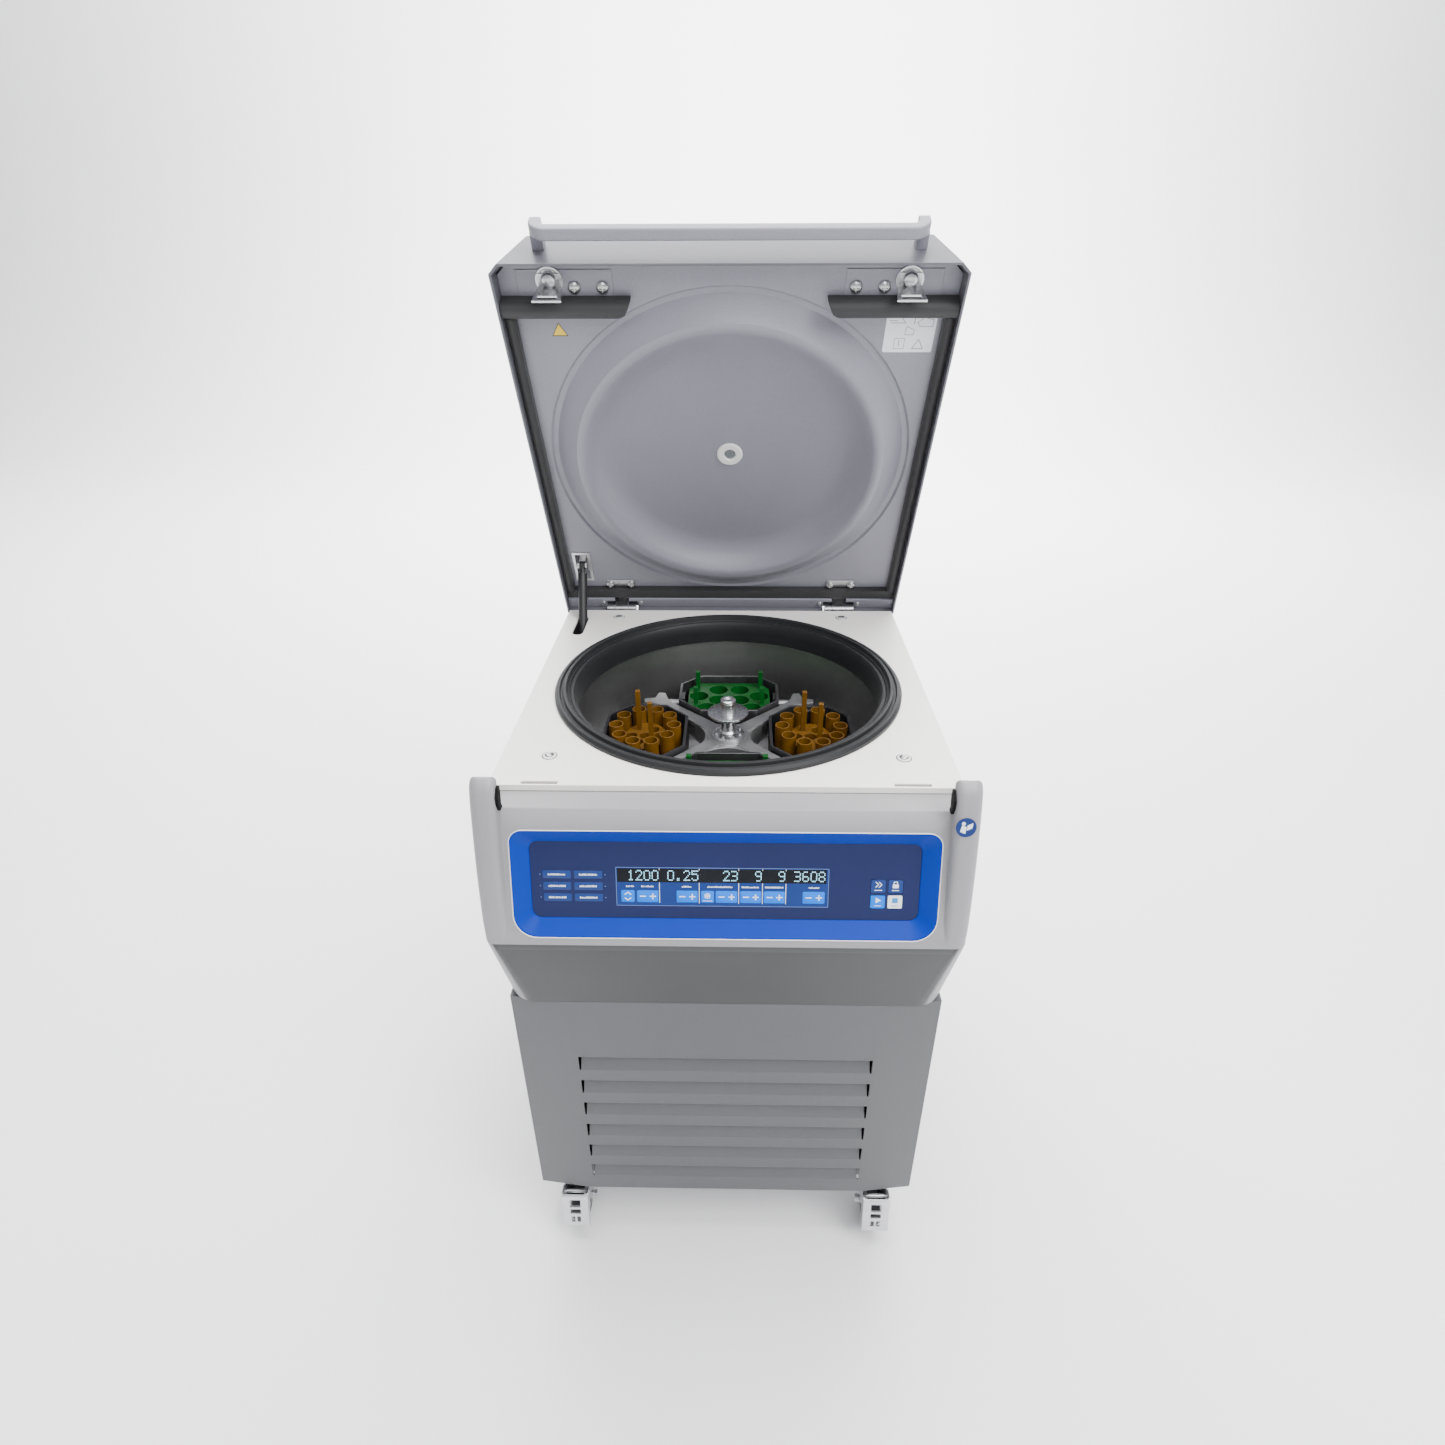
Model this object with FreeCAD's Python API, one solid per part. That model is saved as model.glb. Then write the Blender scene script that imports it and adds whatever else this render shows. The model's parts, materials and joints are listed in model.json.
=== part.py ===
import FreeCAD, Part
import math
import os

# Floor-standing refrigerated centrifuge with a swing-out rotor, built in millimetres.
# Axes: X to the user's right, Y towards the back, Z up. The origin is on the floor
# under the rotor axis. Inside this file heights are measured from the deck plate;
# every finished piece is raised by deck_height when it is written.

V = FreeCAD.Vector
os.makedirs("parts", exist_ok=True)

# ---- driving dimensions ----
deck_height = 810.0
body_half_width = 280.0
body_front = -325.0
body_rear = 336.0
body_bottom = -695.0
sheet = 2.0

hinge_y = 293.0
hinge_z = 0.0
lid_open_angle = 64.3
lid_half_width = 287.0
lid_front = -301.2
lid_rear = 303.8
lid_rim = -1.7
lid_thickness = 68.0
lid_wall = 3.0
panel_z = 24.3
striker_x = 220.5
striker_y = -262.2

console_half_width = 288.0
console_wall = 4.0
face_top = (-314.0, -23.0)
face_bottom = (-352.0, -172.0)
chin_bottom = (-326.0, -296.4)
bezel_half_width = 249.0
bezel_height = 136.0
bezel_depth = 12.0
film_half_width = 229.0
film_low = 20.0
film_high = 118.0

seal_outer_r = 247.5
bowl_r = 222.0
bowl_floor = -220.0
pivot_r = 124.0
pivot_z = -98.0
bucket_half_t = 80.0
bucket_half_r = 62.0
bucket_top = -78.0
bucket_bottom = -166.0
pin_r = 6.0

castor_x = 230.0
castor_front_y = -258.0
castor_rear_y = 270.0
wheel_r = 37.5
castor_trail = 30.0
running_gap = 0.06

strut_x = -250.0
strut_top = (210.8, 22.3)
strut_ring = (158.0, -178.0)
strut_pin = (155.91, -173.70)
strut_pin_r = 2.75
strut_ring_bore = 8.4


# ---- shape helpers ----
def box(x0, x1, y0, y1, z0, z1):
    return Part.makeBox(x1 - x0, y1 - y0, z1 - z0, V(x0, y0, z0))


def cyl(r, base, direction, length):
    return Part.makeCylinder(r, length, V(*base), V(*direction))


def vcyl(r, x, y, z0, z1):
    return cyl(r, (x, y, z0), (0, 0, 1), z1 - z0)


def xcyl(r, x0, x1, y, z):
    return cyl(r, (x0, y, z), (1, 0, 0), x1 - x0)


def ycyl(r, x, y0, y1, z):
    return cyl(r, (x, y0, z), (0, 1, 0), y1 - y0)


def face_of(points):
    return Part.Face(Part.makePolygon(points + [points[0]]))


def yz_prism(points, x0, x1):
    return face_of([V(x0, y, z) for y, z in points]).extrude(V(x1 - x0, 0, 0))


def xz_prism(points, y0, y1):
    return face_of([V(x, y0, z) for x, z in points]).extrude(V(0, y1 - y0, 0))


def xy_prism(points, z0, z1):
    return face_of([V(x, y, z0) for x, y in points]).extrude(V(0, 0, z1 - z0))


def turned(points):
    return face_of([V(r, 0, z) for r, z in points]).revolve(V(0, 0, 0), V(0, 0, 1), 360)


def joined(shapes):
    whole = shapes[0]
    for piece in shapes[1:]:
        whole = whole.fuse(piece)
    return whole.removeSplitter()


def without(shape, tools):
    for tool in tools:
        shape = shape.cut(tool)
    return shape


def rounded_wire(x0, x1, y0, y1, z, r_low, r_high):
    """Closed outline in a level plane; the corners at y0 have r_low, those at y1 r_high."""
    k = math.sqrt(0.5)
    a = r_low
    b = r_high
    edges = [
        Part.makeLine(V(x0 + a, y0, z), V(x1 - a, y0, z)),
        Part.Arc(V(x1 - a, y0, z), V(x1 - a + a * k, y0 + a - a * k, z), V(x1, y0 + a, z)).toShape(),
        Part.makeLine(V(x1, y0 + a, z), V(x1, y1 - b, z)),
        Part.Arc(V(x1, y1 - b, z), V(x1 - b + b * k, y1 - b + b * k, z), V(x1 - b, y1, z)).toShape(),
        Part.makeLine(V(x1 - b, y1, z), V(x0 + b, y1, z)),
        Part.Arc(V(x0 + b, y1, z), V(x0 + b - b * k, y1 - b + b * k, z), V(x0, y1 - b, z)).toShape(),
        Part.makeLine(V(x0, y1 - b, z), V(x0, y0 + a, z)),
        Part.Arc(V(x0, y0 + a, z), V(x0 + a - a * k, y0 + a - a * k, z), V(x0 + a, y0, z)).toShape(),
    ]
    return Part.Wire(edges)


def rounded_block(x0, x1, y0, y1, z0, z1, r):
    return Part.Face(rounded_wire(x0, x1, y0, y1, z0, r, r)).extrude(V(0, 0, z1 - z0))


def mirrored_x(shape):
    return shape.mirror(V(0, 0, 0), V(1, 0, 0))


def pair(shape):
    return [shape, mirrored_x(shape)]


def opened(shape):
    """Swing a closed-lid shape about the hinge line to its open position."""
    turned_copy = shape.copy()
    turned_copy.rotate(V(0, hinge_y, hinge_z), V(1, 0, 0), -lid_open_angle)
    return turned_copy


def write(name, shapes):
    solids = []
    for shape in shapes:
        solids.extend(shape.Solids)
    raised = []
    for solid in solids:
        moved = solid.copy()
        moved.translate(V(0, 0, deck_height))
        raised.append(moved)
    whole = raised[0] if len(raised) == 1 else Part.makeCompound(raised)
    bad = [s for s in raised if not s.isValid() or s.Volume <= 0]
    print("%-24s solids %3d  volume %10.0f  %s" % (name, len(raised), sum(s.Volume for s in raised), "BAD" if bad else ""))
    whole.exportStep("parts/%s.step" % name)


# ---- cabinet ----
def base_frame():
    """Welded floor tray with drain slots."""
    tray = box(-277.5, 277.5, -299, 333, body_bottom, body_bottom + 34)
    tray = tray.cut(box(-274.5, 274.5, -296, 330, body_bottom + 4, body_bottom + 40))
    slots = [box(-60 + 40 * i, -40 + 40 * i, -60, 60, body_bottom - 1, body_bottom + 5) for i in range(4)]
    return without(tray, slots)


def castor_plate(x, y):
    """Bolted castor plate with its kingpin and retaining collar."""
    plate = rounded_block(x - 38, x + 38, y - 32, y + 32, body_bottom - 4, body_bottom, 6)
    washer = vcyl(20, x, y, body_bottom - 8, body_bottom - 4)
    pin = vcyl(8, x, y, body_bottom - 24, body_bottom - 8)
    collar = vcyl(12, x, y, body_bottom - 28, body_bottom - 24)
    return joined([plate, washer, pin, collar])


def side_panel():
    """Right-hand sheet side with folded edges and a field of breather slots."""
    outline = [(-301.5, body_bottom), (334, body_bottom), (334, -17), (283, -17), (283, -3.2), (-266, -3.2), (-266, -298), (-301.5, -298)]
    skin = yz_prism(outline, body_half_width - sheet, body_half_width)
    rear_fold = box(266, body_half_width, 332, 334, body_bottom + 36, -20)
    top_fold = box(262, body_half_width, -262, 280, -5.2, -3.2)
    panel = joined([skin, rear_fold, top_fold])
    slots = []
    for row in range(10):
        z = body_bottom + 90 + 16 * row
        for y in (60, 170):
            slots.append(box(270, 285, y, y + 90, z, z + 6))
    return without(panel, slots)


def rear_panel():
    """Back sheet with the hinge shelf, wall spacers and two air grilles."""
    back = box(-body_half_width, body_half_width, 334, body_rear, body_bottom, -14.5)
    shelf = box(-277.5, 277.5, 284, 334.5, -17, -14.5)
    lip = box(-277.5, 277.5, 283.2, 285.2, -60, -14.5)
    grilles = []
    for row in range(12):
        z = body_bottom + 150 + 18 * row
        for x in (-190, 30):
            grilles.append(box(x, x + 160, 330, 340, z, z + 8))
    grilles.append(box(-187, -133, 330, 340, -652, -620))
    grilles.append(box(-101.5, -72.5, 330, 340, -651, -621))
    spacers = []
    for x in (-210, 210):
        spacers.append(ycyl(16, x, body_rear - 0.5, 352, -95))
        spacers.append(ycyl(16, x, body_rear - 0.5, 352, -610))
    return without(joined([back, shelf, lip] + spacers), grilles)


def front_panel():
    """Folded lower front with six inward louvres across its middle."""
    t = sheet
    outer = [(-280, -302), (-280, -316), (-207, -325), (207, -325), (280, -316), (280, -302)]
    inner = [(278, -302), (278, -316 + t), (207, -325 + t), (-207, -325 + t), (-278, -316 + t), (-278, -302)]
    panel = joined([xy_prism(outer + inner, body_bottom, -297), xy_prism(outer, -299, -297)])
    window = 199.0
    height = 26.5
    blades = []
    for i in range(6):
        top = -402.5 - 47.3 * i
        panel = panel.cut(box(-window, window, -330, -320, top - height, top))
        blade = [(-325, top - height - 1.5), (-323, top - height - 1.5), (-309.5, top + 3), (-311.6, top + 3), (-325, top - height + 1.5)]
        blades.append(yz_prism(blade, -window + 2.4, window - 2.4))
    stiles = [box(-192, -186, -312, -309.5, -662, -380), box(186, 192, -312, -309.5, -662, -380)]
    return joined([panel] + blades + stiles)


def level_outline(half_width, front, back, z, r):
    return rounded_wire(-half_width, half_width, front, back, z, r, 1.0)


def console_body(inset):
    """Lofted console volume; inset shrinks it all round for the cavity."""
    i = inset
    back = -268.3 + (60 if i else 0)
    stations = [
        (-8.0 - i, 288 - i, -303 + i, 10),
        (-23.0 - 0.4 * i, 288 - i, -314 + i, 12),
        (-172.0, 288 - i, -352 + i, 16),
        (-181.0, 287.5 - i, -351 + i, 18),
        (chin_bottom[1] + i, 281.5 - i, chin_bottom[0] + i, 38),
    ]
    wires = [level_outline(w, f, back, z, max(r - i, 2)) for z, w, f, r in stations]
    return Part.makeLoft(wires, True, True)


def pillar():
    """Raised right-hand end of the console with its softly curved front."""
    front = [V(257, -351.6, -172), V(257, -349.3, -138), V(257, -345.5, -105), V(257, -340.5, -70), V(257, -333.5, -33), V(257, -326.5, 0), V(257, -321.3, 19), V(257, -315.5, 31), V(257, -309.5, 36.5)]
    curve = Part.BSplineCurve()
    curve.interpolate(front)
    back = [V(257, -309.5, 36.5), V(257, -306, 36), V(257, -304, 31.5), V(257, -304, -10), V(257, -311, -24), V(257, -348, -171), V(257, -351.6, -172)]
    edges = [curve.toShape()] + [Part.makeLine(back[n], back[n + 1]) for n in range(len(back) - 1)]
    block = Part.Face(Part.Wire(edges)).extrude(V(31, 0, 0))
    rounds = [e for e in block.Edges if len(e.Vertexes) == 2 and e.Length > 190 and e.BoundBox.XLength < 0.1 and e.BoundBox.YMin < -351]
    outer = [e for e in rounds if e.BoundBox.XMin > 280 and e.BoundBox.ZMax > 25]
    inner = [e for e in rounds if e.BoundBox.XMin < 260 and e.BoundBox.ZMax > 25]
    block = block.makeFillet(14, outer)
    rounds = [e for e in block.Edges if e.Length > 190 and e.BoundBox.XMax < 258 and e.BoundBox.ZMax > 25]
    return block.makeFillet(9, rounds[:1]) if rounds else block


def face_frame():
    """Placement whose local X, Y, Z run right, up the sloping face and out of it."""
    dy = face_top[0] - face_bottom[0]
    dz = face_top[1] - face_bottom[1]
    length = math.hypot(dy, dz)
    up = V(0, dy / length, dz / length)
    out = V(0, -dz / length, dy / length)
    start = V(0, face_bottom[0], face_bottom[1]) + up * 10.0
    turn = FreeCAD.Rotation(V(1, 0, 0), up, out, "ZXY")
    return FreeCAD.Placement(start, turn), up, out, start


def on_face(shape):
    placed = shape.copy()
    placed.Placement = face_frame()[0].multiply(placed.Placement)
    return placed


def bezel_outline(grow, z):
    return rounded_wire(-bezel_half_width - grow, bezel_half_width + grow, -grow, bezel_height + grow, z, 28, 16)


def film_outline(grow, z):
    return rounded_wire(-film_half_width - grow, film_half_width + grow, film_low - grow, film_high + grow, z, 11, 10)


def front_console():
    shell = console_body(0)
    ends = pair(pillar())
    shell = joined([shell] + ends)
    cavity = console_body(console_wall)
    shell = shell.cut(cavity)
    shell = shell.cut(box(-290, 290, -275, -200, -400, -12))
    opening = Part.Face(bezel_outline(0.2, -30)).extrude(V(0, 0, 45))
    shell = shell.cut(on_face(opening))
    # the body sheet sits inside the console's side walls
    shell = shell.cut(box(-280.3, 280.3, -302, -260, -400, -12))
    return shell


def console_seals():
    """Soft buffers on the inner flanks of the two pillars."""
    outline = [(-318, 15), (-311, 24), (-305.5, 24), (-305.5, 14), (-308.5, 2), (-305.5, -4), (-314.5, -4), (-318.5, 5)]
    strip = yz_prism(outline, 253.8, 256.9)
    return pair(strip)


def display_surround():
    """Bevelled recess frame round the keypad."""
    body = Part.Face(bezel_outline(0, -17)).extrude(V(0, 0, 17))
    funnel = Part.makeLoft([film_outline(0, -bezel_depth), bezel_outline(-1.6, 0.01)], True, True)
    hole = Part.Face(film_outline(0, -20)).extrude(V(0, 0, 12))
    return on_face(body.cut(funnel).cut(hole))


def keypad_film():
    body = Part.Face(film_outline(-0.2, -15.5)).extrude(V(0, 0, 3.0))
    cuts = [box(-128.4, 122.4, 36.1, 85.9, -16, -10)]
    for x, y in key_positions().values():
        cuts.append(box(x - 8.9, x + 8.9, y - 8.6, y + 8.6, -16, -10))
    return on_face(without(body, cuts))


def key_positions():
    return {
        "key_pulse": (180.5, 64.2),
        "key_open": (200.7, 64.2),
        "key_start": (180.5, 44.2),
        "key_stop": (200.7, 44.2),
    }


def command_key(x, y):
    body = rounded_block(x - 8.55, x + 8.55, y - 8.25, y + 8.25, -14.6, -12.2, 1.6)
    return on_face(body)


def display_module():
    window = rounded_block(-128.1, 122.1, 36.4, 85.6, -15.5, -12.4, 1.5)
    board = box(-120, 114, 42, 80, -24, -15.5)
    return on_face(joined([window, board]))


def top_deck():
    """Flat deck plate with the chamber mouth, strut slot and latch slots."""
    plate = box(-body_half_width, body_half_width, -268, 283, -3, 0)
    lip = box(-body_half_width, body_half_width, -268, -266.8, -7.9, -2.5)
    deck = joined([plate, lip])
    cuts = [vcyl(244, 0, 0, -5, 5)]
    for x in (-striker_x, striker_x):
        cuts.append(box(x - 22, x + 22, -265.0, -259.4, -5, 5))
    cuts.append(box(strut_x - 9, strut_x + 9, 184, 243, -5, 5))
    cuts.append(vcyl(9, strut_x, 184, -5, 5))
    cuts.append(vcyl(9, strut_x, 243, -5, 5))
    for x, y in screw_places():
        cuts.append(vcyl(3.2, x, y, -5, 5))
    return without(deck, cuts)


def screw_places():
    return [(-190, 252), (190, 252), (-220, -202), (220, -202)]


def deck_screws():
    screws = []
    for x, y in screw_places():
        cup = turned([(0, 0.02), (9.0, 0.02), (8.0, 1.3), (5.2, 1.6), (4.8, 1.1), (0, 1.1)])
        cup.translate(V(x, y, 0))
        head = turned([(0, 1.1), (4.7, 1.1), (3.6, 2.0), (0, 2.4)])
        head.translate(V(x, y, 0))
        shank = vcyl(3.0, x, y, -14, 0.1)
        screw = joined([cup, head, shank])
        cross = [box(x - 2.4, x + 2.4, y - 0.5, y + 0.5, 1.5, 4), box(x - 0.5, x + 0.5, y - 2.4, y + 2.4, 1.5, 4)]
        screws.append(without(screw, cross))
    return screws


def chamber_seal():
    profile = [
        (216, -29), (219, -29), (222.2, -8), (243.8, -8), (243.8, 0), (seal_outer_r, 0), (seal_outer_r, 4.6),
        (244.4, 8.4), (240.4, 8.6), (239.2, 6.4), (236.6, 6.4), (235.4, 11.2), (231, 11.4), (229.4, 6), (227.2, 5.8),
        (226, 3.2), (224.8, 4.4), (221, 4.4), (218, 0),
    ]
    return turned(profile)


def chamber_bowl():
    """Spun stainless liner with a central drive opening."""
    wall = [
        (240, -8.1), (bowl_r + 0.6, -8.1), (bowl_r, -12), (bowl_r, -190), (bowl_r - 4, -204), (bowl_r - 14, -214), (bowl_r - 28, bowl_floor),
        (52, bowl_floor), (46, -214), (34, -214), (34, -216), (44, -216), (51, bowl_floor - 2), (bowl_r - 28, bowl_floor - 2),
        (bowl_r - 13, -216), (bowl_r - 2, -205), (bowl_r + 2, -190), (bowl_r + 2, -10.1), (240, -10.1),
    ]
    return turned(wall)


def drive_motor():
    """Induction motor under the chamber, with cooling ribs, a flange and four feet."""
    body = vcyl(74, 0, 0, -410, -262)
    neck = turned([(0, -263), (60, -263), (52, -246), (24, -246), (24, -222), (0, -222)])
    flange = rounded_block(-100, 100, -100, 100, -422, -410, 18)
    ribs = []
    for n in range(24):
        rib = box(72, 82, -1.5, 1.5, -400, -274)
        rib.rotate(V(0, 0, 0), V(0, 0, 1), 15 * n)
        ribs.append(rib)
    feet = []
    for x in (-78, 78):
        for y in (-78, 78):
            foot = turned([(0, -441), (16, -441), (13, -436), (13, -427), (16, -421), (0, -421)])
            foot.translate(V(x, y, 0))
            feet.append(foot)
    motor = joined([body, neck, flange] + ribs + feet)
    return without(motor, [vcyl(9 + running_gap, 0, 0, -300, -200), vcyl(13, 0, 0, -404, -300)])


def inner_frame():
    """Shelf on four posts that carries the motor and the armour ring round the chamber."""
    shelf = rounded_block(-240, 240, -190, 250, -446, -441, 10)
    shelf = shelf.cut(vcyl(60, 0, 0, -450, -430))
    posts = []
    for x in (-225, 225):
        for y in (-175, 235):
            posts.append(box(x - 14, x + 14, y - 14, y + 14, body_bottom + 4, -446))
    struts = []
    for x in (-225, 225):
        for y in (-175, 235):
            struts.append(box(x - 10, x + 10, y - 10, y + 10, -441, -228))
    ring = vcyl(246, 0, 0, -231, -228).cut(vcyl(226, 0, 0, -235, -220))
    guard = vcyl(246, 0, 0, -228, -12).cut(vcyl(237, 0, 0, -230, -10))
    arms = []
    for x in (-1, 1):
        for y, far in ((-175, -110), (235, 110)):
            low = min(y, far)
            high = max(y, far)
            arms.append(box(min(x * 215, x * 235), max(x * 215, x * 235), low - 4, high + 4, -231, -228))
    return joined([shelf, ring, guard] + posts + struts + arms)


def strut_bracket_lower():
    """Welded stud on the left side wall that the gas strut's lower ring goes round."""
    y, z = strut_pin
    plate = box(-278.2, -273, y - 26, y + 26, z - 20, z + 20)
    stud = xcyl(strut_pin_r, -273.5, -239.5, y, z)
    boss = xcyl(9, -273.5, -258, y, z)
    head = xcyl(15.5, -241, -238, y, z)
    return joined([plate, boss, stud, head])


def compressor():
    x = 110
    y = 190
    dome = turned([(0, -688), (66, -688), (74, -676), (76, -600), (70, -572), (52, -552), (24, -544), (0, -543)])
    dome.translate(V(x, y, 0))
    feet = rounded_block(x - 92, x + 92, y - 60, y + 60, -691, -687, 8)
    pipe = vcyl(5, x + 30, y + 40, -575, -490)
    elbow = cyl(5, (x + 30, y + 40, -490), (-1, 0, 0), 120)
    ball = Part.makeSphere(5, V(x + 30, y + 40, -490))
    box_on_side = box(x - 96, x - 66, y - 24, y + 24, -650, -600)
    return joined([dome, feet, pipe, ball, elbow, box_on_side])


def condenser():
    """Finned coil block with its fan ring, spider and fixed fan spindle."""
    coil = box(-175, 175, -296, -262, -660, -400)
    grooves = [box(-168 + 12 * n, -163 + 12 * n, -300, -290, -652, -408) for n in range(28)]
    coil = without(coil, grooves)
    plate = box(-175, 175, -262, -259, -660, -400)
    ring = ycyl(122, 0, -262, -228, -530).cut(ycyl(117, 0, -270, -220, -530))
    plate = plate.cut(ycyl(117, 0, -270, -250, -530))
    web = []
    for n in range(4):
        arm = box(-119, 119, -231.4, -228, -534, -526) if n % 2 == 0 else box(-4, 4, -231.4, -228, -649, -411)
        web.append(arm)
    hub = ycyl(30, 0, -231.4, -205, -530)
    spindle = ycyl(4, 0, -258, -231, -530)
    cap = ycyl(7, 0, -259.8, -257, -530)
    foot = box(-175, 175, -275, -240, body_bottom + 4, -660)
    return joined([coil, plate, ring] + web[:2] + [hub, spindle, cap, foot])


def fan_blades():
    hub = ycyl(26, 0, -255, -239, -530)
    blades = []
    for n in range(6):
        blade = box(20, 108, -1.2, 1.2, -16, 16)
        blade.rotate(V(0, 0, 0), V(1, 0, 0), 62)
        blade.rotate(V(0, 0, 0), V(0, 1, 0), 60 * n)
        blade.translate(V(0, -247, -530))
        blades.append(blade)
    fan = joined([hub] + blades)
    return fan.cut(ycyl(4 + running_gap, 0, -262, -230, -530))


def latch_housing(x):
    """Open-topped box under the deck slot, with the lever's axle across it."""
    body = box(x - 22.5, x + 22.5, -266.6, -228, -66, -3.1)
    body = body.cut(box(x - 19.5, x + 19.5, -265.2, -231, -63, 0))
    axle = xcyl(3, x - 20, x + 20, -256, -42)
    ears = [box(x - 32, x - 22, -262, -240, -5.1, -3.1), box(x + 22, x + 32, -262, -240, -5.1, -3.1)]
    return joined([body, axle] + ears)


def latch_hook(x):
    """Lever with a nose that passes through the lid's loop; drawn locked, then swung back."""
    arm = box(x - 7, x + 7, -258, -253.5, -44, -5)
    eye = xcyl(7, x - 7, x + 7, -256, -42)
    nose = box(x - 7, x + 7, -264.9, -256, -8.6, -5.6)
    tail = yz_prism([(-253, -46), (-242, -52), (-244, -56), (-256, -48)], x - 7, x + 7)
    hook = joined([arm, eye, nose, tail]).cut(xcyl(3 + running_gap, x - 10, x + 10, -256, -42))
    hook.rotate(V(0, -256, -42), V(1, 0, 0), -25)
    return hook


def mains_inlet():
    """Appliance socket and switch bezel on the back panel."""
    block = rounded_xz(-186, -134, -651, -621, 337.5, 341, 3)
    body = box(-184, -136, 318, 340, -649, -623)
    hollow = box(-179, -141, 322, 345, -645, -627)
    pins = [box(x - 1, x + 1, 321, 337, -639.5, -632.5) for x in (-167.5, -160, -152.5)]
    socket = joined([joined([block, body]).cut(hollow)] + pins)
    bezel = rounded_xz(-104, -70, -653.5, -618.5, 337.5, 340.5, 3)
    can = box(-101, -73, 318, 340, -650.5, -621.5)
    cavity = box(-98.8, -75.2, 320, 345, -648.6, -623.4)
    axle = xcyl(2, -99, -75, 333, -636)
    return [socket, joined([joined([bezel, can]).cut(cavity), axle])]


def rounded_xz(x0, x1, z0, z1, y0, y1, r):
    block = rounded_block(x0, x1, z0, z1, -y1, -y0, r)
    block.rotate(V(0, 0, 0), V(1, 0, 0), 90)
    return block


def mains_rocker():
    """Rocker drawn with its upper half pressed in."""
    outline = [(324.5, -632), (324.5, -640), (339.5, -645.9), (343.6, -644.2), (339.3, -636), (340.6, -627.2), (337.5, -626.4)]
    rocker = yz_prism(outline, -98.2, -75.8).cut(xcyl(2 + running_gap, -100, -70, 333, -636))
    return rocker


# ---- hinges ----
def hinge_spans(x):
    return (x - 25, x - 12), (x + 12, x + 25)


def hinge_leaf_lower(x):
    """Fixed leaf with two knuckles and its pin."""
    base = rounded_block(x - 25, x + 25, 288, 328, -14.4, -11.4, 3)
    parts = [base]
    for x0, x1 in hinge_spans(x):
        knuckle = xcyl(6, x0, x1, hinge_y, hinge_z)
        web = box(x0, x1, 290, 299, -11.5, -1)
        parts.extend([knuckle, web])
    parts.append(xcyl(3, x - 25, x + 25, hinge_y, hinge_z))
    for sx in (-15, 15):
        parts.append(vcyl(4.2, x + sx, 315, -11.6, -9.4))
    return joined(parts)


def hinge_leaf_upper(x):
    """Lid leaf: centre knuckle, upright and the plate screwed under the lid panel."""
    knuckle = xcyl(6, x - 11.4, x + 11.4, hinge_y, hinge_z)
    web = box(x - 11.4, x + 11.4, 287.5, 291, 0, 22)
    leaf = box(x - 23, x + 23, 246, 280.3, 21.6, 24.2)
    tongue = box(x - 11.4, x + 11.4, 280, 291, 21.6, 24.2)
    hinge = joined([knuckle, web, leaf, tongue])
    return opened(hinge.cut(xcyl(3 + 0.05, x - 30, x + 30, hinge_y, hinge_z)))


def strut_bracket_upper():
    """Pocket pressed into the lid panel with two cheeks and the strut's upper pin."""
    x = strut_x
    y, z = strut_top
    shell = box(x - 12, x + 12, 187, 245, 24.2, 44).cut(box(x - 10.5, x + 10.5, 188.5, 243.5, 20, 42.5))
    rim = box(x - 15, x + 15, 184, 248, 22.6, 24.2).cut(box(x - 10.5, x + 10.5, 188.5, 243.5, 20, 30))
    cheeks = []
    for x0, x1 in ((x - 8, x - 5), (x + 5, x + 8)):
        cheek = joined([box(x0, x1, y - 7, y + 7, z, 43), xcyl(7, x0, x1, y, z)])
        cheeks.append(cheek)
    pin = xcyl(2.5, x - 8, x + 8, y, z)
    return opened(joined([shell, rim, pin] + cheeks))


# ---- lid ----
def corner_wedges(inset):
    """Leaning wedges that cut the lid's front corners, wider at the lid's top."""
    low_z = lid_rim - 10
    high_z = lid_rim + lid_thickness + 10
    lean = 0.388
    wedges = []
    for side in (-1, 1):
        near = 275 - inset * 1.45 + lean * 10
        plan = [(near, 0), (near + 120, 120), (near + 120, -120), (near - 100, -120), (near - 100, -100)]
        shift = lean * (high_z - low_z)
        base = face_of([V(side * x, lid_front + y, low_z) for x, y in plan])
        wedges.append(base.extrude(V(-side * shift, 0, high_z - low_z)))
    return wedges


def lid_shell():
    """Deep-sided outer cover of the lid."""
    w = lid_half_width
    top = lid_rim + lid_thickness
    outer = box(-w, w, lid_front, lid_rear, lid_rim, top)
    bevel = [(lid_rear + 1, 44), (lid_rear + 1, top + 1), (lid_rear - 30, top + 1), (lid_rear - 30, top), (lid_rear, 44)]
    outer = without(outer, corner_wedges(0) + [yz_prism(bevel, -w - 1, w + 1)])
    rounds = [e for e in outer.Edges if e.BoundBox.ZMin > top - 0.1 and e.BoundBox.YLength > 400]
    outer = outer.makeFillet(7, rounds)
    inner = box(-w + lid_wall, w - lid_wall, lid_front + lid_wall, lid_rear - lid_wall, lid_rim - 5, top - lid_wall)
    inner_bevel = [(lid_rear, 40), (lid_rear, top), (lid_rear - 34, top), (lid_rear - 34, top - 3), (lid_rear - 3, 40)]
    inner = without(inner, corner_wedges(lid_wall) + [yz_prism(inner_bevel, -w, w)])
    notches = [box(x - 27, x + 27, 298, 306, -5, 16) for x in (-190, 190)]
    return opened(without(outer.cut(inner), notches))


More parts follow.
